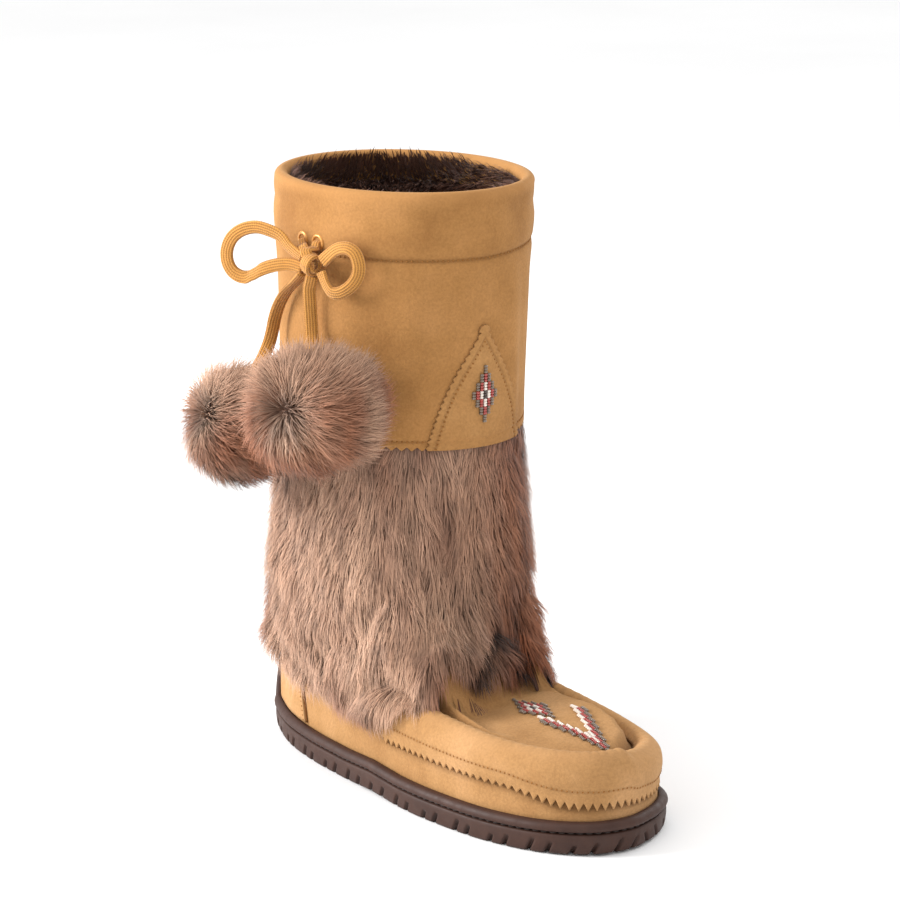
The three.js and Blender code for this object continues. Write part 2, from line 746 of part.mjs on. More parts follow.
function makePatch() {
  const half = patchWidth / 2;
  const [base, tip] = [cuffHem + toothDepth + 0.6, cuffHem + patchHeight];
  const points = [];
  for (const side of [-1, 1]) {
    const [from, to] = side < 0
      ? [new THREE.Vector2(-half, base), new THREE.Vector2(0, tip)]
      : [new THREE.Vector2(0, tip), new THREE.Vector2(half, base)];
    const count = 2 * Math.round(from.distanceTo(to) / toothPitch);
    const across = to.clone().sub(from).rotateAround(new THREE.Vector2(), Math.PI / 2).normalize();
    for (let i = side < 0 ? 0 : 1; i <= count; i += 1) {
      const share = i / count;
      const bow = 2.5 * Math.sin(Math.PI * share);
      points.push(from.clone().lerp(to, share).addScaledVector(across, bow - (i % 2) * toothDepth * 0.7));
    }
  }
  const shell = layer(cuffStand + clearance, patchWall, hemRow, collarRow);
  return geometryFrom(shell.intersect(throughFront(prism(points, frontDepth))));
}

// Beads lie in rows. A block covers a few beads across and a few rows up.
const block = (across, up, x, y, depth) => (
  new THREE.BoxGeometry(across, up, depth).translate(x, y, depth / 2)
);
const joined = (solids) => solids.reduce((sum, solid) => sum.add(solid));

// A diamond is a stack of blocks about one middle, each narrower and taller than the last
function diamondBlocks(columns, rows, pitch, row, y, depth) {
  const blocks = [];
  for (let across = columns, up = 1; across > 0; across -= 2, up += 2) {
    blocks.push(block(across * pitch, Math.min(up, rows) * row, 0, y, depth));
  }
  return blocks;
}

const diamondHeight = 211;

function makeShaftBeads() {
  const blocks = diamondBlocks(7, 7, beadPitch, beadRow, diamondHeight, frontDepth);
  const shell = layer(cuffStand + patchWall + 2 * clearance, beadHeight, hemRow, collarRow);
  return geometryFrom(shell.intersect(joined(blocks.map(throughFront))));
}

// Beads on the apron: a diamond near the instep, and a chevron that opens to it
const apronMiddle = 4;
const diamondPlace = alongY(0.698);
const chevronTip = alongY(0.912);
const chevronArm = 46;
const chevronSpread = 14; // the arms' reach to each side
const chevronColumns = 3;
const throughApron = (drawn, y) => solidOf(drawn
  .rotateZ(THREE.MathUtils.degToRad(toeTurn))
  .translate(apronMiddle, y, 0.86 * rollHeight));
const apronLayer = () => layer(clearance, beadHeight, pinkRow + 1, collarRow);

function makeToeDiamond() {
  const blocks = diamondBlocks(7, 7, beadPitch, toeRow, 0, 2 * rollHeight);
  return geometryFrom(apronLayer().intersect(joined(blocks.map((one) => throughApron(one, diamondPlace)))));
}

function makeToeChevron() {
  const count = Math.round(chevronArm / toeRow);
  const solids = [];
  for (let i = 0; i <= count; i += 1) {
    for (const side of i ? [-1, 1] : [1]) {
      const x = (side * chevronSpread * i) / count;
      const width = (i ? chevronColumns : 1) * beadPitch;
      const bead = block(width, 1.3 * toeRow, x, (chevronArm * i) / count, 2 * rollHeight);
      solids.push(throughApron(bead, chevronTip));
    }
  }
  return geometryFrom(apronLayer().intersect(joined(solids)));
}

// Deep fur: a sleeve whose hair hangs in locks
function lockSolid(root, direction, length, radius) {
  const cone = new THREE.ConeGeometry(radius, length, 4).translate(0, length / 2, 0);
  return solidOf(stood(cone, root, direction));
}

// Where the fur's hem crosses the meridians
const furHemRow = (m) => {
  const low = meridians[Math.floor(m) % meridianCount].along;
  const high = meridians[(Math.floor(m) + 1) % meridianCount].along;
  return look(furHem, 'along', 'row', THREE.MathUtils.lerp(low, high, m - Math.floor(m)));
};
const furTopRow = hemRow - 0.012;

// How far the fur's skin stands off the upper, where the guard, the counter or the vamp lies under it
function skinStand(m, k) {
  const { foot } = meridians[m];
  const behind = foot.y > alongY(0.12) && Math.abs(foot.x) < guardWidth;
  if (k < seamRow && behind) return guardStand + guardWall + 2 * clearance;
  return k <= seamRow + 1 ? vampWall + 4.2 * clearance : 2.6 * clearance;
}

function makeFurBand() {
  const ring = (up, depth) => meridians.map((_, m) => {
    const ragged = up === 0 ? 0.3 * scatter(m + 3) : 0;
    return onUpper(m, THREE.MathUtils.lerp(furHemRow(m) - ragged, furTopRow, up), depth * furDepth);
  });
  const skin = [];
  for (let k = pinkRow + 1; k <= hemRow; k += 1) {
    skin.push(closed(meridians.map((_, m) => {
      const row = Math.min(Math.max(furHemRow(m), k), furTopRow);
      return onUpper(m, row, skinStand(m, row));
    })));
  }
  let fur = solidOf(geometryOf(wall(furProfile.map((row) => closed(ring(row.up, row.depth))), skin)));
  const tiers = [
    { up: 0.02, count: 20, length: hemLock, radius: 3.2, sunk: 2.2 },
    { up: 0.45, count: 11, length: furLock, radius: 4.2, sunk: 3 },
    { up: 0.83, count: 10, length: furLock, radius: 4, sunk: 2.8 },
    { up: 0.95, count: 10, length: furLock, radius: 3.6, sunk: 2.2 },
  ];
  tiers.forEach(({ up, count, length, radius, sunk }, tier) => {
    for (let i = 0; i < count; i += 1) {
      const angle = (2 * Math.PI * (i + 0.5 * (tier % 2) + 0.5 * scatter(i + 31 * tier))) / count;
      const m = meridianAt(angle);
      const row = THREE.MathUtils.lerp(furHemRow(m), furTopRow, up);
      const depth = look(furProfile, 'up', 'depth', up) * furDepth;
      const root = onUpper(m, row, depth - sunk);
      const outward = onUpper(m, row, depth).sub(root).normalize();
      const below = onUpper(m, Math.max(row - 0.6, 1), depth - sunk);
      const direction = below.sub(root).normalize().addScaledVector(outward, 0.35).normalize();
      fur = fur.add(lockSolid(root, direction, length, radius));
    }
  });
  const foot = upperForm(vampWall + 3.6 * clearance, 0, seamRow + 1);
  const heel = upperForm(guardStand + guardWall + clearance, 0, 7).intersect(guardTab(2 * clearance));
  const vamp = solidOf(makeVamp(clearance));
  // The inner side of the instep is hollow, so its room is widened by shifted copies
  const throats = [[0.6, -0.7, 0.3], [-0.5, -0.7, 0.3]].map((by) => upperForm(clearance).translate(by))
    .concat([[0.12, -0.12, 0.12], [-0.12, -0.12, 0.12]].map((by) => upperForm(0).translate(by)));
  return geometryFrom([upperForm(2 * clearance), ...throats, foot, heel, vamp]
    .reduce((rest, one) => rest.subtract(one), fur));
}

// A pompom is a ball with locks all over it, spread evenly by the golden angle. None grows where it
// rests on the shaft or on the other pompom.
function makePompom(centre, radius, locks, neighbour) {
  let ball = solidOf(new THREE.IcosahedronGeometry(radius, 1).translate(...centre));
  const inward = new THREE.Vector3(shaftMiddle.x, shaftMiddle.y, centre.z).sub(centre).normalize();
  const beside = neighbour.clone().sub(centre).normalize();
  const down = new THREE.Vector3(0, 0, -1);
  for (let i = 0; i < locks; i += 1) {
    const height = 1 - (2 * (i + 0.5)) / locks;
    const turn = i * Math.PI * (3 - Math.sqrt(5));
    const flat = Math.sqrt(1 - height * height);
    const outward = new THREE.Vector3(flat * Math.cos(turn), flat * Math.sin(turn), height);
    if (outward.dot(inward) > 0.35 || outward.dot(beside) > 0.7 || height > 0.9) continue;
    const swirl = down.clone().cross(outward).multiplyScalar(0.5);
    const direction = outward.clone().add(swirl).addScaledVector(down, 0.3).normalize();
    const root = centre.clone().addScaledVector(outward, radius - 6);
    ball = ball.add(lockSolid(root, direction, pomLock * (0.9 + 0.3 * scatter(i)), 6.5));
  }
  return geometryFrom(ball);
}

// The lace is flat: its section's long side lies along the boot
function laceAlong(points, width = laceWidth) {
  const path = new THREE.CatmullRomCurve3(points.map((p) => new THREE.Vector3(...p)));
  const section = new THREE.Shape();
  for (let i = 0; i < 8; i += 1) {
    const angle = (2 * Math.PI * (i + 0.5)) / 8;
    const [x, y] = [(laceThickness / 2) * Math.cos(angle) * 1.08, (width / 2) * Math.sin(angle) * 1.08];
    if (i) section.lineTo(x, y);
    else section.moveTo(x, y);
  }
  section.closePath();
  const count = Math.max(8, Math.round(path.getLength() / (laceWidth * 0.9)));
  return new THREE.ExtrudeGeometry(section, { steps: count, extrudePath: path, bevelEnabled: false });
}

// The knot hangs below and ahead of the eyelets, and the rest of the lace is placed from it
const [rearEyelet, frontEyelet] = eyelets;
const knotSize = new THREE.Vector3(4, 6, 5);
const knotDrop = new THREE.Vector3(-6.48, -9.42, -10.5);
const knot = rearEyelet.place.clone().lerp(frontEyelet.place, 0.5).add(knotDrop);
const beside = (x, y, z) => knot.clone().add(new THREE.Vector3(x, y, z));
const fromKnot = (points) => points.map((point) => beside(...point).toArray());
const pomFront = beside(-21.5, -26.5, -66.5);
const pomRear = beside(-22.5, 35.5, -85.5);

// The two strands that leave the eyelets and meet above the knot
function makeCrossing() {
  const strand = ({ place, outward }, stands, ends) => {
    const points = stands.map(([stand, y, z]) => (
      place.clone().addScaledVector(outward, stand).add(new THREE.Vector3(0, y, z)).toArray()
    ));
    points.push(...fromKnot(ends.map(([x, y, z]) => [x, y, knotSize.z + z])));
    return solidOf(laceAlong(points, eyeletBore * 0.6));
  };
  const rear = strand(rearEyelet, [[-0.9, 0, 0], [1.6, 0, 0], [3.6, -2, -0.8]], [[0.6, 4.4, 2.6], [0, 0.4, 2]]);
  const front = strand(frontEyelet, [[-0.9, 0, 0], [1.4, 0, 0], [3, -0.4, -1.6]], [[0.2, 1.4, 2.4]]);
  return geometryFrom(rear.add(front));
}

function makeKnot() {
  return new THREE.IcosahedronGeometry(1, 1).scale(...knotSize).translate(...knot);
}

// The routes of the lace's loops and ends, chosen by hand, outwards from the knot
const rearLoop = fromKnot([
  [-2.1, 5.5, 2.5], [-5, 12.9, 7.3], [-7.5, 17.2, 12.5], [-10.9, 22.9, 15.1], [-14.2, 28.7, 16.1],
  [-18, 35.5, 14.1], [-21, 40.5, 9.5], [-22.4, 43, 2.9], [-22.2, 42.5, -3.5], [-20.5, 39.5, -8.3],
  [-17.5, 34.4, -10.1], [-14.9, 30, -8.1], [-12.2, 25.3, -4.9], [-7.8, 17.7, -2.1], [-4.4, 11.8, -1.5],
  [-2, 6, -2.5],
]);
const frontLoop = fromKnot([
  [1.3, -6.9, 2.1], [2.5, -10.8, 5.6], [4.1, -16, 9.4], [6.2, -21.4, 10.5], [8, -25.1, 8.5],
  [9, -27.1, 3.8], [9, -27.1, -1.8], [7.7, -24.5, -7.1], [5.7, -20.2, -11.1], [4, -15.9, -13.1],
  [2.7, -12.4, -12.7], [1.8, -9.5, -9.5], [1.2, -7.7, -5.9], [0.6, -6.6, -2.9],
]);
const rearEnd = fromKnot([
  [-0.4, 7.1, -6], [-0.2, 10.1, -8.3], [0, 13.5, -10.7], [0.6, 18.5, -13.9], [1.1, 24.5, -18.1],
  [1.6, 29.9, -23.3], [2.2, 34.5, -29.1], [2.8, 38.1, -35.3], [3, 40.5, -41.7], [1.8, 41.7, -47.9],
  [-1, 41.7, -53.1], [-5.4, 40.5, -57.9], [-9.3, 39.1, -62.1],
]);
const frontEnd = fromKnot([
  [-0.6, -0.5, -6.3], [-0.2, 1.1, -9.5], [0.2, 2.9, -12.9], [0.6, 3.4, -16.9], [0.9, 3.5, -21.1],
  [1.1, 3.4, -25.5], [1.2, 3.1, -29.9], [1, 2.5, -34.1], [0.4, 1.3, -37.9], [-0.9, -0.7, -41.3],
  [-3.4, -4.1, -44.9], [-7, -8.6, -49.3],
]);

const looks = {
  rubber: { color: 0x3d2b25, roughness: 0.75, metalness: 0 },
  suede: { color: 0xd9a660, roughness: 0.95, metalness: 0 },
  insoleFelt: { color: 0x5b4334, roughness: 0.95, metalness: 0 },
  fur: { color: 0x8c6a52, roughness: 0.9, metalness: 0 },
  beads: { color: 0x8a5a4c, roughness: 0.4, metalness: 0 },
  metal: { color: 0xb98a4e, roughness: 0.45, metalness: 0.8 },
  lace: { color: 0xc98d3c, roughness: 0.85, metalness: 0 },
};

const pieces = [
  ['outsole', makeOutsole(), 'rubber'],
  ['insole', makeInsole(), 'insoleFelt'],
  ['upper', makeUpper(), 'suede'],
  ['moccasin_vamp', makeVamp(), 'suede'],
  ['heel_counter', makeCounter(), 'suede'],
  ['shaft_cuff', makeCuff(), 'suede'],
  ['cuff_patch', makePatch(), 'suede'],
  ['beads_shaft_diamond', makeShaftBeads(), 'beads'],
  ['beads_toe_diamond', makeToeDiamond(), 'beads'],
  ['beads_toe_chevron', makeToeChevron(), 'beads'],
  ['fur_band', makeFurBand(), 'fur'],
  ...eyelets.map((eyelet) => [eyelet.name, makeEyelet(eyelet), 'metal']),
  ['lace_crossing', makeCrossing(), 'lace'],
];
const free = [
  ['lace_knot', makeKnot(), 'lace'],
  ['lace_loop_rear', laceAlong(rearLoop), 'lace'],
  ['lace_loop_front', laceAlong(frontLoop), 'lace'],
  ['lace_end_rear', laceAlong(rearEnd), 'lace'],
  ['lace_end_front', laceAlong(frontEnd), 'lace'],
  ['pompom_rear', makePompom(pomRear, pomRearRadius, 28, pomFront), 'fur'],
  ['pompom_front', makePompom(pomFront, pomFrontRadius, 32, pomRear), 'fur'],
];

const boot = new THREE.Group();
const meshOf = ([name, geometry, finish]) => {
  const mesh = new THREE.Mesh(geometry, new THREE.MeshStandardMaterial(looks[finish]));
  mesh.name = name;
  boot.add(mesh);
  return mesh;
};

// The origin lies on the floor under the middle of the boot, measured without the free lace.
const reach = new THREE.Box3();
pieces.map(meshOf).forEach((mesh) => reach.expandByObject(mesh));
free.forEach(meshOf);
const middle = reach.getCenter(new THREE.Vector3());
boot.position.set(-middle.x, -middle.y, -reach.min.z);

export default boot;
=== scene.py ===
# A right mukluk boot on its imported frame: rubber cup sole, suede foot and cuff, rabbit fur, beadwork,
# and a flat lace with two pompoms. Lengths are millimetres until a mesh is made.
import math

import bpy
import numpy as np
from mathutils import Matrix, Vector


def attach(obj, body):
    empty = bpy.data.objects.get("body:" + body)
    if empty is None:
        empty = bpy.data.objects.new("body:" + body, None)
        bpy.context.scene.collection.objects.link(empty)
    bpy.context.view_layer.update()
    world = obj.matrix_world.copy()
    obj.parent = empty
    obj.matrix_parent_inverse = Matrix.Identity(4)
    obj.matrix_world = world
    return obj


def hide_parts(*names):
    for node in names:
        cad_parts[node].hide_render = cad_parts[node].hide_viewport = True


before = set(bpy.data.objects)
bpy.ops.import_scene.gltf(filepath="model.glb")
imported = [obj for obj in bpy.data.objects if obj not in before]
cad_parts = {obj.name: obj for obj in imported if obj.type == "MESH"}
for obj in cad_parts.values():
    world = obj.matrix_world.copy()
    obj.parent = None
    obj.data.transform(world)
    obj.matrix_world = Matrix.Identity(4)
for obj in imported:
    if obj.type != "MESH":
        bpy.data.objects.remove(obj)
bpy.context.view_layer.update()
mm = 0.001
shift = np.array([-0.734, -1.562, 0.0])  # from the last's own origin to the frame's


def linear(code):
    # sRGB hex to a linear colour
    parts = [int(code[i:i + 2], 16) / 255 for i in (1, 3, 5)]
    return [p / 12.92 if p <= 0.04045 else ((p + 0.055) / 1.055) ** 2.4 for p in parts] + [1.0]


def unit(v):
    return v / np.maximum(np.linalg.norm(v, axis=-1, keepdims=True), 1e-9)


def smooth(x, low, high):
    t = np.clip((x - low) / (high - low), 0, 1)
    return t * t * (3 - 2 * t)


# Camera that was fitted to the photo
view = {"azimuth": -37.0, "elevation": 13.79, "place": (-1151.8, -1520.7, 643.7), "lens": 154.46}


def makeCamera():
    azimuth, elevation = math.radians(view["azimuth"]), math.radians(view["elevation"])
    back = Vector((math.sin(azimuth) * math.cos(elevation), -math.cos(azimuth) * math.cos(elevation),
                   math.sin(elevation)))
    data = bpy.data.cameras.new("camera")
    data.lens, data.sensor_width = view["lens"], 36.0
    camera = bpy.data.objects.new("camera", data)
    camera.location = (np.array(view["place"]) + shift) * mm
    camera.rotation_mode = "QUATERNION"
    camera.rotation_quaternion = (-back).to_track_quat("-Z", "Y")
    bpy.context.scene.collection.objects.link(camera)
    bpy.context.scene.camera = camera


makeCamera()


# One small function adds a node with its settings and links
def addNode(tree, kind, inputs=None, **settings):
    node = tree.nodes.new(kind)
    for key, value in settings.items():
        setattr(node, key, value)
    for key, value in (inputs or {}).items():
        if isinstance(value, bpy.types.NodeSocket):
            tree.links.new(value, node.inputs[key])
        else:
            node.inputs[key].default_value = value
    return node


def newMaterial(name):
    material = bpy.data.materials.new(name)
    material.use_nodes = True
    tree = material.node_tree
    shader = next(n for n in tree.nodes if n.type == "BSDF_PRINCIPLED")
    place = addNode(tree, "ShaderNodeTexCoord").outputs["Object"]
    return material, tree, shader, place


def noise(tree, place, sizeMm, detail=3.0, rough=0.55):
    # A noise whose blobs are about sizeMm across
    node = addNode(tree, "ShaderNodeTexNoise", {"Vector": place, "Scale": 1000.0 / sizeMm,
                                                "Detail": detail, "Roughness": rough})
    return node.outputs[0]


def ramp(tree, factor, stops):
    node = addNode(tree, "ShaderNodeValToRGB", {"Fac": factor})
    elements = node.color_ramp.elements
    while len(elements) < len(stops):
        elements.new(0.5)
    for element, (at, colour) in zip(elements, stops):
        element.position = at
        element.color = linear(colour) if isinstance(colour, str) else [colour] * 3 + [1]
    return node.outputs[0]


def blendColour(tree, factor, a, b, kind="MIX"):
    node = addNode(tree, "ShaderNodeMix", data_type="RGBA", blend_type=kind)
    for socket, value in ((node.inputs[0], factor), (node.inputs[6], a), (node.inputs[7], b)):
        if isinstance(value, bpy.types.NodeSocket):
            tree.links.new(value, socket)
        else:
            socket.default_value = linear(value) if isinstance(value, str) else value
    return node.outputs[2]


def reckon(tree, kind, a, b=0.0, c=0.0):
    return addNode(tree, "ShaderNodeMath", {0: a, 1: b, 2: c}, operation=kind).outputs[0]


def attribute(tree, name, output="Fac"):
    return addNode(tree, "ShaderNodeAttribute", attribute_name=name).outputs[output]


def bump(tree, shader, height, strength, depthMm):
    node = addNode(tree, "ShaderNodeBump", {"Height": height, "Strength": strength, "Distance": depthMm * mm})
    tree.links.new(node.outputs[0], shader.inputs["Normal"])


# Suede is leather brushed on its flesh side: no gloss, a short nap that goes lighter and darker in
# cloudy patches, and a fine pebbled grain
suede = {"cloudMm": 42.0, "grainMm": 1.4, "napMm": 0.4, "sheen": 0.15}


def makeSuede(name, light, middle, dark):
    material, tree, shader, place = newMaterial(name)
    cloud = noise(tree, place, suede["cloudMm"], 4.0)
    colour = ramp(tree, cloud, [(0.32, dark), (0.5, middle), (0.7, light)])
    grain = noise(tree, place, suede["grainMm"], 3.0, 0.6)
    colour = blendColour(tree, 0.5, colour, ramp(tree, grain, [(0.32, 0.62), (0.68, 1.0)]), "MULTIPLY")
    # Painted highlight with some scuffing: the suede goes to its light tone along the crest of the vamp's roll and the
    # top of the cuff's fold
    colour = blendColour(tree, attribute(tree, "scuff_and_highlight"), colour, light, "MIX")
    # Painted shade: the suede goes towards deep brown by the crease mask, in seams, creases, stitch grooves and under
    # edges
    colour = blendColour(tree, attribute(tree, "crease"), colour, "#4A2C14", "MIX")
    tree.links.new(colour, shader.inputs["Base Color"])
    shader.inputs["Roughness"].default_value = 0.95
    shader.inputs["Specular IOR Level"].default_value = 0.15
    shader.inputs["Sheen Weight"].default_value = suede["sheen"]
    shader.inputs["Sheen Roughness"].default_value = 0.5
    shader.inputs["Sheen Tint"].default_value = linear("#F3D3A8")
    nap = noise(tree, place, suede["napMm"], 2.0)
    bump(tree, shader, reckon(tree, "MULTIPLY_ADD", nap, 0.5, grain), 0.55, 0.45)
    return material


# Moulded rubber: dark brown, a soft sheen and a faint dust in it
def makeRubber():
    material, tree, shader, place = newMaterial("moulded_brown_rubber")
    dust = noise(tree, place, 14.0, 5.0, 0.65)
    colour = ramp(tree, dust, [(0.3, "#351F17"), (0.7, "#42291F")])
    # Painted shade: the rubber goes near black in the sole's notches and its stitch groove
    colour = blendColour(tree, attribute(tree, "crease"), colour, "#150C09")
    tree.links.new(colour, shader.inputs["Base Color"])
    tree.links.new(ramp(tree, noise(tree, place, 5.0), [(0.3, 0.5), (0.7, 0.66)]), shader.inputs["Roughness"])
    shader.inputs["Specular IOR Level"].default_value = 0.32
    bump(tree, shader, noise(tree, place, 0.8), 0.25, 0.15)
    return material


# Rabbit fur: each hair dark at its root, with banded grey-brown, fawn and rust towards its tip
def makeFur(name, fawn, brown, rust, dark, rustMm=55.0):
    material, tree, shader, place = newMaterial(name)
    stretched = addNode(tree, "ShaderNodeMapping", {"Vector": place, "Scale": (1.0, 1.0, 0.38)}).outputs[0]
    wide = noise(tree, stretched, rustMm, 2.0)
    streak = noise(tree, stretched, 7.0, 3.0, 0.7)
    colour = ramp(tree, wide, [(0.36, fawn), (0.5, brown), (0.64, rust)])
    colour = blendColour(tree, reckon(tree, "MULTIPLY", attribute(tree, "ruddy"), 0.7), colour, rust)
    colour = blendColour(tree, reckon(tree, "MULTIPLY", attribute(tree, "pale"), 0.75), colour, fawn)
    colour = blendColour(tree, ramp(tree, streak, [(0.45, 0.0), (0.65, 0.4)]), colour, dark)
    tone = attribute(tree, "tone")
    colour = blendColour(tree, 1.0, colour, ramp(tree, tone, [(0.0, 0.6), (0.4, 0.95), (1.0, 1.0)]), "MULTIPLY")
    along = attribute(tree, "along")
    colour = blendColour(tree, ramp(tree, along, [(0.0, 0.7), (0.4, 0.15), (0.75, 0.0)]), colour, dark)
    # Painted shade: the fold mask darkens the fur in the instep crease, low on one side of the front, at the pompoms'
    # crowns and undersides, and deep in the lining
    colour = blendColour(tree, attribute(tree, "fold"), colour, "#1D1310")
    tree.links.new(colour, shader.inputs["Base Color"])
    shader.inputs["Roughness"].default_value = 0.62
    shader.inputs["Specular IOR Level"].default_value = 0.3
    shader.inputs["Sheen Weight"].default_value = 0.1
    return material


# The lace is a flat braid of cotton: ribs along it and small slanting stitches
def makeLace():
    material, tree, shader, place = newMaterial("braided_cotton_lace")
    across, along = attribute(tree, "laneAcross"), attribute(tree, "laneAlong")
    rib = reckon(tree, "SINE", reckon(tree, "MULTIPLY", across, 2 * math.pi / 1.35))
    slant = reckon(tree, "MULTIPLY_ADD", reckon(tree, "ABSOLUTE", rib), 0.6, along)
    knit = reckon(tree, "SINE", reckon(tree, "MULTIPLY", slant, 2 * math.pi / 1.15))
    height = reckon(tree, "MULTIPLY_ADD", knit, 0.5, rib)
    # Painted shade: the braid's colour follows its relief, dark in the hollows between ribs and light on their tops
    painted_shade = ramp(tree, reckon(tree, "MULTIPLY_ADD", height, 0.25, 0.5), [(0.1, "#8A5626"), (0.6, "#D29548")])
    tree.links.new(blendColour(tree, 0.3, painted_shade, ramp(tree, noise(tree, place, 3.0), [(0.3, 0.6), (0.7, 1.0)]),
                               "MULTIPLY"), shader.inputs["Base Color"])
    shader.inputs["Roughness"].default_value = 0.85
    shader.inputs["Specular IOR Level"].default_value = 0.2
    shader.inputs["Sheen Weight"].default_value = 0.2
    bump(tree, shader, height, 0.6, 0.35)
    return material


def makePlain(name, low, high, sizeMm, roughness, specular, bumpMm=0.1, metallic=0.0):
    material, tree, shader, place = newMaterial(name)
    spots = noise(tree, place, sizeMm, 4.0)
    tree.links.new(ramp(tree, spots, [(0.3, low), (0.7, high)]), shader.inputs["Base Color"])
    shader.inputs["Roughness"].default_value = roughness
    shader.inputs["Specular IOR Level"].default_value = specular
    shader.inputs["Metallic"].default_value = metallic
    bump(tree, shader, spots, 0.4, bumpMm)
    return material


# Glass seed beads: bright gloss, each in the colour that the chart gives it
def makeBeadGlass():
    material, tree, shader, place = newMaterial("glass_seed_beads")
    chart = attribute(tree, "beadColour", "Color")
    cloudy = ramp(tree, noise(tree, place, 1.2), [(0.3, 0.7), (0.7, 1.0)])
    tree.links.new(blendColour(tree, 0.6, chart, cloudy, "MULTIPLY"), shader.inputs["Base Color"])
    shader.inputs["Roughness"].default_value = 0.22
    shader.inputs["Coat Weight"].default_value = 0.4
    return material


finish = {
    "cuff": makeSuede("brushed_suede_cuff", "#B5834F", "#A97946", "#986A3B"),
    "foot": makeSuede("brushed_suede_foot", "#BE9163", "#B08455", "#9E7347"),
    "patch": makeSuede("brushed_suede_patch", "#B78855", "#AC7D4B", "#9B6E40"),
    "rubber": makeRubber(),
    "fur": makeFur("rabbit_fur", "#D2A88B", "#A87E66", "#A0603F", "#4C362C"),
    "pomFur": makeFur("rabbit_fur_pompom", "#C8A185", "#A67C64", "#A06444", "#57402F", 26.0),
    "pile": makeFur("brown_pile_lining", "#8A5E49", "#65402F", "#6B3E28", "#341E16", 30.0),
    "felt": makePlain("wool_felt_insole", "#4A3329", "#6A4C3D", 2.0, 0.95, 0.1, 0.4),
    "lace": makeLace(),
    "thread": makePlain("waxed_thread", "#7A4E20", "#A06C30", 1.0, 0.7, 0.3),
    "soleThread": makePlain("dark_sole_thread", "#1C100C", "#2E1C15", 1.0, 0.55, 0.4),
    "metal": makePlain("lacquered_brass_eyelet", "#B47A38", "#D69A50", 3.0, 0.35, 0.6, 0.03, 0.4),
    "beads": makeBeadGlass(),
}
print("stage: materials")


def newPiece(name, points, faces, material, attributes=None, soft=True):
    # Points are millimetres in the last's frame; the mesh is metres in the boot's
    mesh = bpy.data.meshes.new(name)
    mesh.from_pydata(((np.asarray(points, float) + shift) * mm).tolist(), [], faces)
    mesh.validate()
    mesh.polygons.foreach_set("use_smooth", [soft] * len(mesh.polygons))
    for key, values in (attributes or {}).items():
        values = np.asarray(values, np.float32)
        kind = "FLOAT_VECTOR" if values.ndim == 2 and values.shape[1] == 3 else "FLOAT"
        layer = mesh.attributes.new(key, kind, "POINT")
        layer.data.foreach_set("vector" if kind == "FLOAT_VECTOR" else "value", values.ravel())
    piece = bpy.data.objects.new(name, mesh)
    bpy.context.scene.collection.objects.link(piece)
    mesh.materials.append(material)
    return piece


def sheetFaces(rows, columns, around, closedRows=False, start=0):
    # Quads between rows of points; columns run clockwise seen from above, rows run up
    faces = []
    for r in range(rows if closedRows else rows - 1):
        low, high = start + r * columns, start + (r + 1) % rows * columns
        for c in range(columns if around else columns - 1):
            n = (c + 1) % columns
            faces.append((low + c, high + c, high + n, low + n))
    return faces


def wallPiece(name, outer, inner, around, material, attributes=None):
    # A closed wall from an outer sheet and an inner one, both from the bottom up
    sheets = np.concatenate([outer, inner[::-1]])
    rows, columns = sheets.shape[:2]
    faces = sheetFaces(rows, columns, around, True)
    if not around:
        half = len(outer)
        for r in range(rows // 2):
            a, b = r * columns, (r + 1) * columns
            c, d = (rows - 1 - r) * columns, (rows - 2 - r) * columns
            if r < half - 1 and (rows - 2 - r) >= half:
                faces.append((a, c, d, b))
                end = columns - 1
                faces.append((a + end, b + end, d + end, c + end))
    flat = {key: np.concatenate([outside, np.broadcast_to(inside, inner.shape[:2] + outside.shape[2:])[::-1]])
            .reshape(rows * columns, -1).squeeze() for key, (outside, inside) in (attributes or {}).items()}
    return newPiece(name, sheets.reshape(-1, 3), faces, material, flat)


# The last: the same named sizes and tables as the part's own source
last = {"soleLength": 285, "ballWidth": 104, "soleSide": 16.7, "trayFloor": 8, "rimWall": 5, "toeSpring": 1.2,
        "apronInset": 18, "rollHeight": 49, "rollClimb": 7, "innerDrop": 5.5, "throatBow": 4,
        "ankleHeight": 118, "bootHeight": 312,
        "collarWidth": 126, "collarDepth": 146, "shaftBack": 17, "shaftInward": 4.3, "cuffHem": 180,
        "hemClimb": 4, "cuffWall": 1.6, "clearance": 0.3, "columns": 960, "finer": 8}
soleOutline = np.array([
    (0, 0, 0), (0.012, 0.329, 0.3), (0.04, 0.499, 0.52), (0.09, 0.64, 0.7), (0.16, 0.787, 0.779),
    (0.26, 0.901, 0.759), (0.38, 0.969, 0.698), (0.5, 1.029, 0.74), (0.62, 1.066, 0.864),
    (0.7, 1.046, 0.943), (0.78, 0.995, 0.976), (0.86, 0.877, 0.92), (0.92, 0.723, 0.78),
    (0.965, 0.519, 0.502), (0.99, 0.318, 0.221), (1, 0, 0)])
soleLift = np.array([(0, 2.5), (0.05, 0.69), (0.1, 0), (0.38, 0), (0.47, 1), (0.56, 0), (0.8, 0),
                     (0.88, 0.2), (0.95, 0.62), (1, 1)])
rollProfile = [(0.345, 0.59), (0.27, 0.77), (0.35, 0.92), (0.61, 1), (1, 0.94)]
instepProfile = [(0.38, 0.015), (0.66, 0.075), (0.86, 0.28), (0.96, 0.6), (1, 1)]
ankleProfile = [(0.246, 0), (0.33, 0.02), (0.4, 0.07), (0.46, 0.15), (0.53, 0.27), (0.61, 0.42),
                (0.69, 0.58), (0.78, 0.75), (0.88, 0.9), (1, 1)]
shaftSections = np.array([(0, 0.94, 0.018, 0.012), (0.577, 0.953, 0.0135, 0.01), (1, 1, 0, 0)])
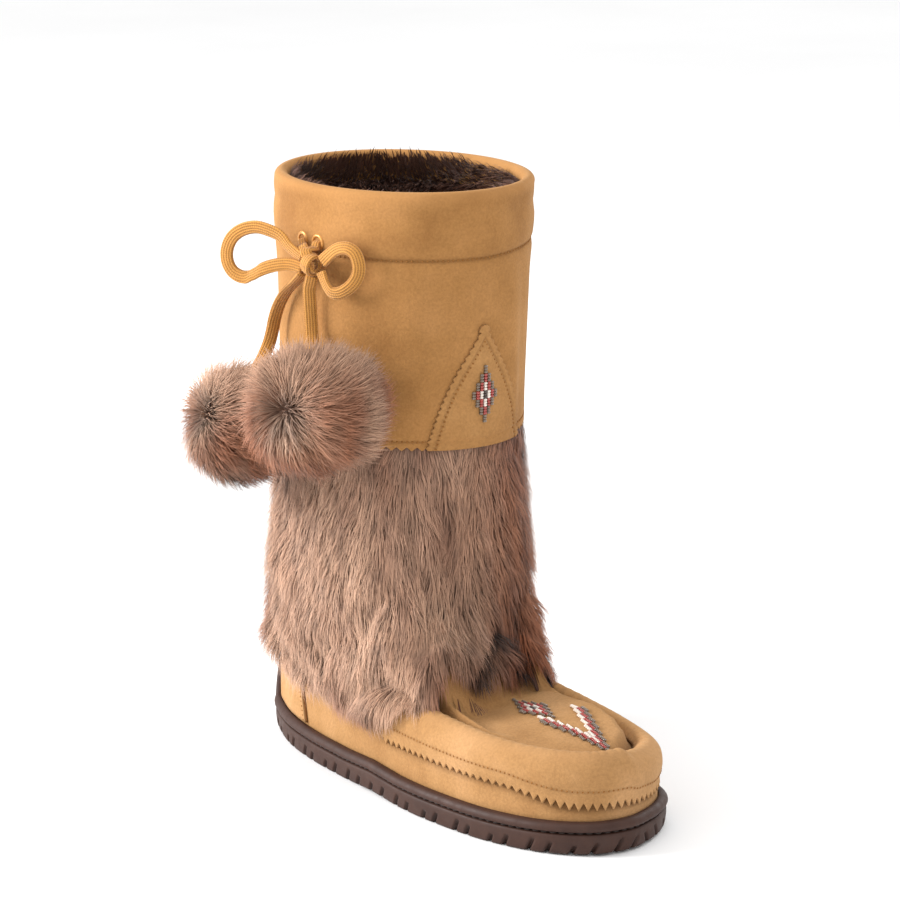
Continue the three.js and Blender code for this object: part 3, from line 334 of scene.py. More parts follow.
furHem = np.array([(0, 4.3), (0.25, 3.9), (0.42, 3.1), (0.5, 3.1), (0.56, 4.1), (0.61, 5.4), (0.68, 6.7),
                   (0.78, 7.6), (1, 8.2)])
furProfile = np.array([(0, 0.75), (0.1, 1.15), (0.28, 1.1), (0.55, 0.92), (0.85, 0.72), (1, 0.3)])
cuffStand = last["clearance"] + last["cuffWall"]


def alongY(along):
    return last["soleLength"] * (0.5 - along)


def splineSpan(p0, p1, p2, p3, t):
    # One span of a centripetal spline
    def step(a, b):
        return np.maximum(np.linalg.norm(b - a, axis=-1, keepdims=True), 1e-6) ** 0.5
    d0, d1, d2 = step(p0, p1), step(p1, p2), step(p2, p3)
    m1 = ((p1 - p0) / d0 - (p2 - p0) / (d0 + d1) + (p2 - p1) / d1) * d1
    m2 = ((p2 - p1) / d1 - (p3 - p1) / (d1 + d2) + (p3 - p2) / d2) * d1
    return p1 + m1 * t + (3 * (p2 - p1) - 2 * m1 - m2) * t ** 2 + (2 * (p1 - p2) + m1 + m2) * t ** 3


def evenly(points, count, closed):
    # Points at equal lengths along a line
    points = np.concatenate([points, points[:1]]) if closed else points
    length = np.concatenate([[0], np.cumsum(np.linalg.norm(np.diff(points, axis=0), axis=1))])
    at = np.linspace(0, length[-1], count + 1)[:-1] if closed else np.linspace(0, length[-1], count)
    return np.stack([np.interp(at, length, points[:, i]) for i in range(points.shape[1])], 1), length[-1]


def throughPoints(points, steps=14, closed=False):
    points = np.asarray(points, float)
    n = len(points)
    t = np.linspace(0, 1, steps, endpoint=False)[:, None]
    out = []
    for i in range(n if closed else n - 1):
        ends = [points[(i + k) % n] if closed else points[min(max(i + k, 0), n - 1)] for k in (-1, 0, 1, 2)]
        if not closed and i == 0:
            ends[0] = 2 * points[0] - points[1]
        if not closed and i == n - 2:
            ends[3] = 2 * points[-1] - points[-2]
        out.append(splineSpan(*ends, t))
    return np.concatenate(out + ([] if closed else [points[-1:]]))


def makeLast():
    half = last["ballWidth"] / 2
    outer = [(-o * half, alongY(a)) for a, o, _ in soleOutline][::-1]
    inner = [(i * half, alongY(a)) for a, _, i in soleOutline][1:-1]
    foot, around = evenly(throughPoints(outer + inner, 60, True), last["columns"], True)
    tangent = unit(np.roll(foot, -1, 0) - np.roll(foot, 1, 0))
    normal = np.stack([-tangent[:, 1], tangent[:, 0]], 1)
    middle = np.array([last["shaftInward"], last["soleLength"] / 2 - last["shaftBack"] - last["collarDepth"] / 2])
    polar = np.unwrap(np.arctan2(middle[0] - foot[:, 0], middle[1] - foot[:, 1]))
    heading = np.unwrap(np.arctan2(tangent[:, 1], tangent[:, 0]))
    turn = np.abs(np.diff(heading, append=heading[0] - 2 * np.pi)) + 1.6 * np.abs(
        np.diff(polar, append=polar[0] + 2 * np.pi))
    share = np.cumsum(1.6 / last["columns"] + 0.35 * turn / (2 * np.pi))
    share = np.concatenate([[0], share[:-1] / share[-1]])
    angle = 0.88 * polar + 0.12 * 2 * np.pi * share
    return foot, normal, angle, around, middle


foot, footNormal, angleOf, soleAround, shaftMiddle = makeLast()
columns = last["columns"]
alongOf = 0.5 - foot[:, 1] / last["soleLength"]
liftOf = last["toeSpring"] * np.interp(alongOf, soleLift[:, 0], soleLift[:, 1])
soleArc = np.arange(columns) * soleAround / columns


def shaftPoint(angle, height):
    size, outward, back = (np.interp(height / last["bootHeight"], shaftSections[:, 0], shaftSections[:, i])
                           for i in (1, 2, 3))
    halfWidth = size * last["collarWidth"] / 2 - cuffStand
    halfDepth = size * last["collarDepth"] / 2 - cuffStand
    return np.stack([shaftMiddle[0] - outward * last["collarWidth"] - halfWidth * np.sin(angle),
                     shaftMiddle[1] + back * last["collarWidth"] - halfDepth * np.cos(angle),
                     np.broadcast_to(height, angle.shape)], 1)


collarTop = last["bootHeight"] - cuffStand - last["cuffWall"] - last["clearance"]
hemOf = last["cuffHem"] + last["hemClimb"] * np.maximum(0, -np.sin(angleOf))


def makeRows():
    def inward(inset, height):
        inset = np.broadcast_to(inset, (columns,))[:, None]
        return np.concatenate([foot - footNormal * inset, np.broadcast_to(height, (columns,))[:, None]], 1)
    front = 1 - smooth(foot[:, 1], alongY(0.65), alongY(0.44))
    climb = last["rollClimb"] * smooth(foot[:, 1], alongY(0.9), alongY(0.44))
    ankle = shaftPoint(angleOf, np.full(columns, float(last["ankleHeight"])))
    innerSide = smooth(footNormal[:, 0], 0, 0.6)
    pinch = 1 - 0.45 * innerSide * smooth(foot[:, 1], alongY(0.76), alongY(0.44))
    roll = last["rollHeight"] - last["innerDrop"] * innerSide * (
        1 - smooth(foot[:, 1], alongY(0.868), alongY(0.535)))
    seam = inward(rollProfile[-1][0] * last["apronInset"] * pinch, rollProfile[-1][1] * roll + climb)
    leaving = (unit((ankle - seam)[:, :2]) * footNormal).sum(1)
    steep = smooth(leaving, 0.5 * innerSide - 0.75, 0.22 * innerSide + 0.25)
    forefoot = [inward(inset * last["apronInset"] * (pinch if i > 2 else 1),
                       height * roll + climb * (i + 1) / 5 + liftOf * (1 - height))
                for i, (inset, height) in enumerate(rollProfile)]
    for travel, rise in instepProfile:
        point = seam + (ankle - seam) * travel
        point[:, :2] -= footNormal * (4 * last["throatBow"] * innerSide * travel * (1 - travel))[:, None]
        point[:, 2] = seam[:, 2] + (ankle[:, 2] - seam[:, 2]) * (rise + (travel - rise) * steep)
        forefoot.append(point)
    feather = last["rimWall"] + last["clearance"]
    rows = [inward(feather, last["trayFloor"] + last["clearance"] + liftOf), inward(feather, last["soleSide"] + liftOf)]
    for (height, spread), fore in zip(ankleProfile, forefoot):
        rear = inward(feather, 0) * (1 - spread) + ankle * spread
        rear[:, 2] = height * last["ankleHeight"]
        rows.append(rear + (fore - rear) * front[:, None])
    rows.append(shaftPoint(angleOf, hemOf))
    rows.append(shaftPoint(angleOf, np.full(columns, collarTop)))
    return np.stack(rows)


def refine(rows):
    count = len(rows)
    fine = []
    for k in range(count - 1):
        ends = [rows[min(max(k + j, 0), count - 1)] for j in (-1, 0, 1, 2)]
        if k == 0:
            ends[0] = 2 * rows[0] - rows[1]
        if k == count - 2:
            ends[3] = 2 * rows[-1] - rows[-2]
        for s in range(last["finer"]):
            fine.append(splineSpan(*ends, s / last["finer"]))
    return np.stack(fine + [rows[-1]])


skin = refine(makeRows())
skinUp = np.gradient(skin, axis=0)
skinAlong = np.roll(skin, -1, 1) - np.roll(skin, 1, 1)
skinNormal = unit(np.cross(unit(skinUp), unit(skinAlong)))
for _ in range(2):
    skinNormal = unit(np.roll(skinNormal, 1, 1) + skinNormal * 2 + np.roll(skinNormal, -1, 1))


def between(grid, place, row):
    # place is the share of the way round the sole, row counts up the upper
    c = np.mod(place, 1.0) * columns
    r = np.clip(np.asarray(row, float), 0, 13) * last["finer"]
    c0, r0 = np.floor(c).astype(int) % columns, np.minimum(np.floor(r).astype(int), len(grid) - 2)
    c1, fc, fr = (c0 + 1) % columns, (c % 1)[..., None], (r - r0)[..., None]
    low = grid[r0, c0] * (1 - fc) + grid[r0, c1] * fc
    high = grid[r0 + 1, c0] * (1 - fc) + grid[r0 + 1, c1] * fc
    return low * (1 - fr) + high * fr


def onLast(place, row, stand=0.0):
    place, row, stand = np.broadcast_arrays(place, row, stand)
    return between(skin, place, row) + unit(between(skinNormal, place, row)) * stand[..., None]


def normalAt(place, row):
    place, row = np.broadcast_arrays(place, row)
    return unit(between(skinNormal, place, row))


def placeAtAngle(angle):
    return np.interp(np.mod(angle - angleOf[0], 2 * np.pi) + angleOf[0],
                     np.append(angleOf, angleOf[0] + 2 * np.pi), np.arange(columns + 1)) / columns


def alongAt(place):
    # How far towards the toe a place is, as a share of the boot's length
    return np.interp(np.mod(place, 1) * columns, np.arange(columns + 1), np.append(alongOf, alongOf[0]))


def hemAt(place):
    return np.interp(np.mod(place, 1) * columns, np.arange(columns + 1), np.append(hemOf, hemOf[0]))


def rowAtHeight(place, height):
    hem = hemAt(place)
    return 12 + (height - hem) / (collarTop - hem)


def rowAtLevel(place, level):
    # The row where one column of the foot reaches a level
    c = (np.mod(place, 1.0) * columns).astype(int) % columns
    rows = np.arange(skin.shape[0]) / last["finer"]
    return np.array([np.interp(z, skin[:, i, 2], rows) for i, z in zip(np.ravel(c), np.ravel(level))]
                    ).reshape(np.shape(c))


# Arc lengths round the cuff, for teeth and stitches
cuffRing = onLast(np.arange(columns) / columns, np.full(columns, 12.0), cuffStand)
cuffArc = np.concatenate([[0], np.cumsum(np.linalg.norm(np.diff(np.concatenate([cuffRing, cuffRing[:1]]),
                                                                axis=0), axis=1))])


def cuffPlace(arc):
    return np.interp(np.mod(arc, cuffArc[-1]), cuffArc, np.arange(columns + 1)) / columns


def arcAt(place):
    return np.interp(np.mod(place, 1.0) * columns, np.arange(columns + 1), cuffArc)


def tooth(arc, pitch):
    # 0 at a tooth's tip, 1 between two teeth
    return np.abs(np.mod(arc / pitch, 1.0) - 0.5) * 2


print("stage: last")

# Laces: the same routes as the frame's, from the knot outwards
lace = {"width": 6.8, "thickness": 2.4, "knot": (-64, 37.5, 273.5)}
laceRoutes = {
    "rearLoop": [
        [-66.1, 43, 276], [-69, 50.4, 280.8], [-71.5, 54.7, 286], [-74.9, 60.4, 288.6], [-78.2, 66.2, 289.6],
        [-82, 73, 287.6], [-85, 78, 283], [-86.4, 80.5, 276.4], [-86.2, 80, 270], [-84.5, 77, 265.2],
        [-81.5, 71.9, 263.4], [-78.9, 67.5, 265.4], [-76.2, 62.8, 268.6], [-71.8, 55.2, 271.4], [-68.4, 49.3, 272],
        [-66, 43.5, 271]],
    "frontLoop": [
        [-62.7, 30.6, 275.6], [-61.5, 26.7, 279.1], [-59.9, 21.5, 282.9], [-57.8, 16.1, 284], [-56, 12.4, 282],
        [-55, 10.4, 277.3], [-55, 10.4, 271.7], [-56.3, 13, 266.4], [-58.3, 17.3, 262.4], [-60, 21.6, 260.4],
        [-61.3, 25.1, 260.8], [-62.2, 28, 264], [-62.8, 29.8, 267.6], [-63.4, 30.9, 270.6]],
    "rearEnd": [
        [-64.4, 44.6, 267.5], [-64.2, 47.6, 265.2], [-64, 51, 262.8], [-63.4, 56, 259.6], [-62.9, 62, 255.4],
        [-62.4, 67.4, 250.2], [-61.8, 72, 244.4], [-61.2, 75.6, 238.2], [-61, 78, 231.8], [-62.2, 79.2, 225.6],
        [-65, 79.2, 220.4], [-69.4, 78, 215.6], [-73.3, 76.6, 211.4]],
    "frontEnd": [
        [-64.6, 37, 267.2], [-64.2, 38.6, 264], [-63.8, 40.4, 260.6], [-63.4, 40.9, 256.6], [-63.1, 41, 252.4],
        [-62.9, 40.9, 248], [-62.8, 40.6, 243.6], [-63, 40, 239.4], [-63.6, 38.8, 235.6], [-64.9, 36.8, 232.2],
        [-67.4, 33.4, 228.6], [-71, 28.9, 224.2]],
}
laceLean = {  # the way the lace's width points, at even steps along it
    "rearLoop": [(-0.2, -0.6, 0.8), (-0.1, -0.2, 1), (-0.4, 0.6, 0.7), (-0.6, 0.8, -0.2), (-0.4, 0.4, -0.8),
                 (0, 0, -1)],
    "frontLoop": [(-0.1, 0.2, 1), (0.2, 0.5, 0.8), (0.75, -0.5, 0.4), (0.7, -0.5, -0.5), (0.2, 0.2, -1),
                  (0.1, 0.2, -1)],
    "rearEnd": [(0.7, -0.6, 0.3), (0.75, -0.6, 0.3), (0.75, -0.6, 0.3)],
    "frontEnd": [(0.75, -0.6, -0.2), (0.8, -0.6, 0), (0.75, -0.6, 0.2)],
}


def ribbon(points, lean, width, thickness, closed=False):
    # A flat braid's tube: rounded edges, its width leaning as told
    points = np.asarray(points, float)
    count = len(points)
    if closed:
        tangent = unit(np.roll(points, -1, 0) - np.roll(points, 1, 0))
    else:
        tangent = unit(np.gradient(points, axis=0))
    at = np.linspace(0, 1, count)
    lean = np.stack([np.interp(at, np.linspace(0, 1, len(lean)), [l[i] for l in lean]) for i in range(3)], 1)
    wide = unit(lean - tangent * (lean * tangent).sum(1, keepdims=True))
    thick = np.cross(tangent, wide)
    widths = np.broadcast_to(width, (count,))[:, None]
    angles = 2 * np.pi * (np.arange(14) + 0.5) / 14
    across = np.sign(np.cos(angles)) * np.abs(np.cos(angles)) ** 0.55
    deep = np.sign(np.sin(angles)) * np.abs(np.sin(angles)) ** 0.8
    rings = (points[:, None] + wide[:, None] * (widths / 2 * across)[..., None]
             + thick[:, None] * (thickness / 2 * deep)[None, :, None])
    length = np.concatenate([[0], np.cumsum(np.linalg.norm(np.diff(points, axis=0), axis=1))])
    n = len(angles)
    faces = [(r * n + c, r * n + (c + 1) % n, (r + 1) % count * n + (c + 1) % n, (r + 1) % count * n + c)
             for r in range(count if closed else count - 1) for c in range(n)]
    if not closed:
        faces += [tuple(reversed(range(n))), tuple(range((count - 1) * n, count * n))]
    lanes = {"laneAcross": (widths / 2 * across).ravel(), "laneAlong": np.repeat(length, n)}
    return rings.reshape(-1, 3), faces, lanes, length[-1]


def joinParts(parts):
    # Several point and face lists as one
    points, faces, lanes, start = [], [], {}, 0
    for part, partFaces, partLanes, *_ in parts:
        points.append(part)
        faces += [tuple(i + start for i in f) for f in partFaces]
        for key, values in partLanes.items():
            lanes.setdefault(key, []).append(values)
        start += len(part)
    return np.concatenate(points), faces, {key: np.concatenate(v) for key, v in lanes.items()}


laceEnds = {}


def makeLaces():
    named = {"rearLoop": "lace_bow_rear", "frontLoop": "lace_bow_front", "rearEnd": "lace_tail_rear",
             "frontEnd": "lace_tail_front"}
    for key, name in named.items():
        path = throughPoints(laceRoutes[key], 10)
        path, _ = evenly(path, int(len(path) / 1.6), False)
        points, faces, lanes, length = ribbon(path, laceLean[key], lace["width"], lace["thickness"])
        laceEnds[key] = (newPiece(name, points, faces, finish["lace"], lanes), path, length)


def makeKnot():
    middle = np.array(lace["knot"])
    t = np.linspace(0, 2 * np.pi, 40, endpoint=False)
    parts = []
    for turn, rx, rz, lift, wide in ((0.3, 4.0, 4.9, -0.6, 6.8), (-0.35, 3.0, 4.2, 0.0, 6.4)):
        ring = np.stack([-rx * np.cos(t), np.zeros(40), rz * np.sin(t)], 1)
        axis = np.array([0.0, math.cos(turn), math.sin(turn)])
        side = np.array([0.0, -math.sin(turn), math.cos(turn)])
        loop = middle + ring[:, :1] * np.array([1.0, 0, 0]) + ring[:, 2:] * side + (lift, 0, 0)
        parts.append(ribbon(loop, [tuple(axis)] * 2, wide, 2.2, True))
    points, faces, lanes = joinParts(parts)
    return newPiece("lace_knot_wraps", points, faces, finish["lace"], lanes)


makeLaces()
knotPiece = makeKnot()
print("stage: lace")


# Eyelets, and the two strands that come out of them and run to the knot
eyelet = {"bore": 2.5, "flange": 4.2, "height": 284, "gap": 12}
eyeletSpots = []
for eyeletAngle in (np.pi / 2, np.pi / 2 - eyelet["gap"] / (last["collarDepth"] / 2)):
    spot = placeAtAngle(np.array([eyeletAngle]))
    row = rowAtHeight(spot, eyelet["height"])
    eyeletSpots.append((onLast(spot, row, cuffStand)[0], normalAt(spot, row)[0]))


def makeEyelet(name, at, outward):
    bore, flange = eyelet["bore"], eyelet["flange"]
    profile = [(bore, -1.6), (bore + 0.5, -1.6), (bore + 0.5, 0.2), (flange, 0.25), (flange + 0.15, 0.5),
               (flange - 0.1, 0.85), (flange - 0.7, 1.15), (bore + 0.6, 1.2), (bore + 0.1, 0.9), (bore - 0.05, 0.3)]
    side = unit(np.cross(outward, (0, 0, 1)))
    up = np.cross(side, outward)
    turn = np.linspace(0, 2 * np.pi, 36, endpoint=False)
    rings = np.stack([at + outward * h + r * (np.cos(turn)[:, None] * side + np.sin(turn)[:, None] * up)
                      for r, h in profile])
    return newPiece(name, rings.reshape(-1, 3), sheetFaces(len(profile), 36, True, True), finish["metal"])


def makeStrands():
    knot = np.array(lace["knot"])
    (rearAt, rearOut), (frontAt, frontOut) = eyeletSpots
    rear = [rearAt - rearOut * 2.6, rearAt + rearOut * 1.2 + (0, -0.3, -0.6), rearAt + rearOut * 2.8 + (0, -2.6, -2.2),
            knot + (-1.4, 6.6, 7.4), knot + (-1.2, 3.2, 4.6), knot + (-0.8, 1.0, 1.6)]
    front = [frontAt - frontOut * 2.6, frontAt + frontOut * 1.4 + (0, 0.2, -0.4),
             frontAt + frontOut * 3.2 + (0, -0.6, -2.4), knot + (-2.6, 1.8, 6.8), knot + (-2.2, -0.2, 3.2)]
    parts = []
    for points, lean in ((rear, [(0.4, -0.8, 0.3), (0.6, -0.7, 0.4), (0.6, -0.7, 0.5)]),
                         (front, [(0.3, -0.9, 0), (0.6, -0.75, 0), (0.65, -0.75, 0.1)])):
        path, _ = evenly(throughPoints(points, 12), 26, False)
        widths = np.interp(np.linspace(0, 1, 26), [0, 0.22, 0.5, 1], [4.0, 4.3, 6.2, 5.8])
        parts.append(ribbon(path, lean, widths, 2.3))
    points, faces, lanes = joinParts(parts)
    return newPiece("lace_strands", points, faces, finish["lace"], lanes)


eyeletPieces = [makeEyelet("eyelet_ring_rear", *eyeletSpots[0]), makeEyelet("eyelet_ring_front", *eyeletSpots[1])]
strandPiece = makeStrands()


# Geometry Nodes trees: hairs on a pelt, things along a line, and beads on points
def newTree(name, sockets):
    tree = bpy.data.node_groups.new(name, "GeometryNodeTree")
    tree.interface.new_socket(name="Geometry", in_out="INPUT", socket_type="NodeSocketGeometry")
    tree.interface.new_socket(name="Geometry", in_out="OUTPUT", socket_type="NodeSocketGeometry")
    for label, kind in sockets:
        tree.interface.new_socket(name=label, in_out="INPUT", socket_type="NodeSocket" + kind)
    return tree, addNode(tree, "NodeGroupInput"), addNode(tree, "NodeGroupOutput")


def closeTree(tree, instances, start, end):
    real = addNode(tree, "GeometryNodeRealizeInstances", {"Geometry": instances.outputs[0]})
    done = addNode(tree, "GeometryNodeSetMaterial", {"Geometry": real.outputs[0],
                                                     "Material": start.outputs["Material"]})
    tree.links.new(done.outputs[0], end.inputs[0])
    return tree


def aligned(tree, first, firstAxis, second, secondAxis):
    turn = addNode(tree, "FunctionNodeAlignRotationToVector", {"Vector": first}, axis=firstAxis)
    return addNode(tree, "FunctionNodeAlignRotationToVector", {"Rotation": turn.outputs[0], "Vector": second},
                   axis=secondAxis, pivot_axis=firstAxis).outputs[0]


def named(tree, name):
    return addNode(tree, "GeometryNodeInputNamedAttribute", {"Name": name}, data_type="FLOAT_VECTOR").outputs[0]


def hairTree():
    tree, start, end = newTree("hairs_on_pelt", [
        ("Density", "Float"), ("Length", "Float"), ("Width", "Float"), ("Stray", "Float"), ("Clump", "Float"),
        ("ClumpSize", "Float"), ("Seed", "Int"), ("Strand", "Object"), ("Material", "Material")])
    spread = addNode(tree, "GeometryNodeDistributePointsOnFaces", {
        "Mesh": start.outputs["Geometry"], "Density": start.outputs["Density"], "Seed": start.outputs["Seed"]})
    place = addNode(tree, "GeometryNodeInputPosition").outputs[0]

    def vector(kind, *values):
        node = addNode(tree, "ShaderNodeVectorMath", operation=kind)
        for i, value in enumerate(values):
            if isinstance(value, bpy.types.NodeSocket) or not isinstance(value, (int, float)):
                if isinstance(value, bpy.types.NodeSocket):
                    tree.links.new(value, node.inputs[i])
                else:
                    node.inputs[i].default_value = value
        return node

    def wander(size, amount):
        swirl = addNode(tree, "ShaderNodeTexNoise", {"Vector": place, "Scale": size, "Detail": 1.0})
        centred = vector("SUBTRACT", swirl.outputs["Color"], (0.5, 0.5, 0.5))
        scaled = vector("SCALE", centred.outputs[0])
        tree.links.new(amount, scaled.inputs["Scale"])
        return scaled.outputs[0]
    stray = addNode(tree, "FunctionNodeRandomValue", {0: (-1, -1, -1), 1: (1, 1, 1)}, data_type="FLOAT_VECTOR")
    strayed = vector("SCALE", stray.outputs[0])
    tree.links.new(start.outputs["Stray"], strayed.inputs["Scale"])
    comb = vector("ADD", vector("ADD", named(tree, "comb"), wander(start.outputs["ClumpSize"], start.outputs["Clump"]))
                  .outputs[0], strayed.outputs[0]).outputs[0]
    turn = aligned(tree, comb, "Z", named(tree, "out"), "Y")
    tone = addNode(tree, "FunctionNodeRandomValue", {2: 0.0, 3: 1.0, "Seed": 3}, data_type="FLOAT")
    toned = addNode(tree, "GeometryNodeStoreNamedAttribute", {
        "Geometry": spread.outputs["Points"], "Name": "tone", "Value": tone.outputs[1]}, data_type="FLOAT",
        domain="POINT")
    vary = addNode(tree, "FunctionNodeRandomValue", {2: 0.7, 3: 1.25, "Seed": 5}, data_type="FLOAT")
    longer = addNode(tree, "ShaderNodeMath", {0: start.outputs["Length"], 1: vary.outputs[1]}, operation="MULTIPLY")
    size = addNode(tree, "ShaderNodeCombineXYZ", {"X": start.outputs["Width"], "Y": longer.outputs[0],
                                                  "Z": longer.outputs[0]})
    strand = addNode(tree, "GeometryNodeObjectInfo", {"Object": start.outputs["Strand"]})
    grown = addNode(tree, "GeometryNodeInstanceOnPoints", {
        "Points": toned.outputs[0], "Instance": strand.outputs["Geometry"], "Rotation": turn,
        "Scale": size.outputs[0]})
    return closeTree(tree, grown, start, end)


def lineTree():
    tree, start, end = newTree("stitches_along_line", [
        ("Pitch", "Float"), ("Stitch", "Object"), ("Material", "Material")])
    curve = addNode(tree, "GeometryNodeMeshToCurve", {"Mesh": start.outputs["Geometry"]})
    spaced = addNode(tree, "GeometryNodeResampleCurve", {"Curve": curve.outputs[0], "Length": start.outputs["Pitch"]},
                     mode="LENGTH")
    turn = aligned(tree, addNode(tree, "GeometryNodeInputTangent").outputs[0], "X", named(tree, "out"), "Z")
    stitch = addNode(tree, "GeometryNodeObjectInfo", {"Object": start.outputs["Stitch"]})
    sewn = addNode(tree, "GeometryNodeInstanceOnPoints", {
        "Points": spaced.outputs[0], "Instance": stitch.outputs["Geometry"], "Rotation": turn})
    return closeTree(tree, sewn, start, end)


def beadTree():
    tree, start, end = newTree("beads_on_points", [("Bead", "Object"), ("Size", "Float"), ("Material", "Material")])
    spots = addNode(tree, "GeometryNodeMeshToPoints", {"Mesh": start.outputs["Geometry"]})
    turn = aligned(tree, named(tree, "across"), "X", named(tree, "out"), "Z")
    bead = addNode(tree, "GeometryNodeObjectInfo", {"Object": start.outputs["Bead"]})
    vary = addNode(tree, "FunctionNodeRandomValue", {2: 0.93, 3: 1.05, "Seed": 4}, data_type="FLOAT")
    size = addNode(tree, "ShaderNodeMath", {0: start.outputs["Size"], 1: vary.outputs[1]}, operation="MULTIPLY")
    sewn = addNode(tree, "GeometryNodeInstanceOnPoints", {
        "Points": spots.outputs[0], "Instance": bead.outputs["Geometry"], "Rotation": turn, "Scale": size.outputs[0]})
    return closeTree(tree, sewn, start, end)


trees = {"hair": hairTree(), "line": lineTree(), "bead": beadTree()}


def grow(piece, tree, **values):
    # Runs a tree on a piece and keeps its result as a plain mesh
    modifier = piece.modifiers.new(tree.name, "NODES")
    modifier.node_group = tree
    for item in tree.interface.items_tree:
        if item.item_type == "SOCKET" and item.in_out == "INPUT" and item.name in values:
            modifier[item.identifier] = values[item.name]
    graph = bpy.context.evaluated_depsgraph_get()
    mesh = bpy.data.meshes.new_from_object(piece.evaluated_get(graph), preserve_all_data_layers=True, depsgraph=graph)
    piece.modifiers.clear()
    old, piece.data = piece.data, mesh
    bpy.data.meshes.remove(old)
    for extra in ("comb", "out", "across"):
        if extra in mesh.attributes:
            mesh.attributes.remove(mesh.attributes[extra])
    return piece


# Small shapes that the trees repeat, each with few faces
def template(name, points, faces, attributes=None, soft=True):
    shape = newPiece(name, np.asarray(points, float) - shift, faces, finish["thread"], attributes, soft)
    return shape


def strandShape():
    # One hair a metre long, flat, bending over as it goes and tapering to its tip
    steps = [(0.0, 0.5, 0.0), (0.35, 0.46, 0.03), (0.7, 0.3, -0.03), (1.0, 0.02, -0.2)]
    points, along = [], []
    for up, half, bend in steps:
        points += [(-half * 1000, bend * 1000, up * 1000), (half * 1000, bend * 1000, up * 1000)]
        along += [up, up]
    faces = [(0, 1, 3, 2), (2, 3, 5, 4), (4, 5, 7, 6)]
    return template("hair_shape", points, faces, {"along": along})


def stitchShape(length, radius, name="stitch_shape", depth=0.75):
    rings, count = [], 8
    turn = np.linspace(0, 2 * np.pi, count, endpoint=False)
    for at, scale in ((-0.5, 0.35), (-0.38, 0.8), (-0.15, 1), (0.15, 1), (0.38, 0.8), (0.5, 0.35)):
        drop = -radius * 1.2 * (2 * abs(at)) ** 3
        rings += [(length * at, radius * scale * math.cos(a), radius * scale * depth * math.sin(a) + drop)
                  for a in turn]
    faces = [(r * count + c, (r + 1) * count + c, (r + 1) * count + (c + 1) % count, r * count + (c + 1) % count)
             for r in range(5) for c in range(count)]
    faces += [tuple(range(count)), tuple(reversed(range(5 * count, 6 * count)))]
    return template(name, rings, faces)


def beadShape():
    # A barrel bead lying along X, one unit across
    rings, count = [], 12
    turn = np.linspace(0, 2 * np.pi, count, endpoint=False)
    profile = [(-0.62, 0.2), (-0.64, 0.36), (-0.48, 0.48), (0.0, 0.52), (0.48, 0.48), (0.64, 0.36), (0.62, 0.2)]
    for at, radius in profile:
        rings += [(at, radius * math.cos(a), radius * math.sin(a)) for a in turn]
    faces = [(r * count + c, (r + 1) * count + c, (r + 1) * count + (c + 1) % count, r * count + (c + 1) % count)
             for r in range(6) for c in range(count)]
    faces += [(6 * count + c, c, (c + 1) % count, 6 * count + (c + 1) % count) for c in range(count)]
    return template("bead_shape", rings, faces)


shapes = {"hair": strandShape(), "stitch": stitchShape(2.0, 0.42), "hole": stitchShape(1.1, 0.5, "hole_shape"),
          "soleStitch": stitchShape(3.4, 0.55, "sole_stitch_shape"), "bead": beadShape()}


def linePiece(name, points, outward, pitch, shape, material, closed=False):
    # A polyline piece that becomes a row of stitches
    count = len(points)
    mesh = bpy.data.meshes.new(name)
    edges = [(i, (i + 1) % count) for i in range(count if closed else count - 1)]
    mesh.from_pydata(((points + shift) * mm).tolist(), edges, [])
    layer = mesh.attributes.new("out", "FLOAT_VECTOR", "POINT")
    layer.data.foreach_set("vector", np.asarray(outward, np.float32).ravel())
    piece = bpy.data.objects.new(name, mesh)
    bpy.context.scene.collection.objects.link(piece)
    return grow(piece, trees["line"], Pitch=pitch * mm, Stitch=shapes[shape], Material=finish[material])


finished = []  # pieces that ride on the boot, with the CAD nodes that they stand for


def keep(piece, *nodes):
    finished.append((piece, nodes))
    return piece


# Rubber cup sole: rim, groove, tall side with slanting notches, and lugs under it
sole = {"notchPitch": 24, "notchHigh": 8.0, "notchDeep": 3.4, "notchWide": 1.15, "notchSlant": 0.55,
        "lugDepth": 2.8, "profile": [
            (1.55, 0.17), (1.5, 0.0), (0.62, 0.0), (0.45, 0.02), (0.34, 0.07), (0.26, 0.16), (0.2, 0.28), (0.16, 0.42),
            (0.16, 0.54), (0.2, 0.6), (0.36, 0.625), (0.6, 0.64), (0.66, 0.66), (0.6, 0.68), (0.3, 0.695),
            (0.12, 0.715), (0.02, 0.76), (0.0, 0.81), (0.06, 0.87), (0.2, 0.93), (0.42, 0.975), (0.66, 0.995),
            (0.88, 0.985), (1.0, 0.95), (1.02, 0.8), (1.02, 0.5)]}


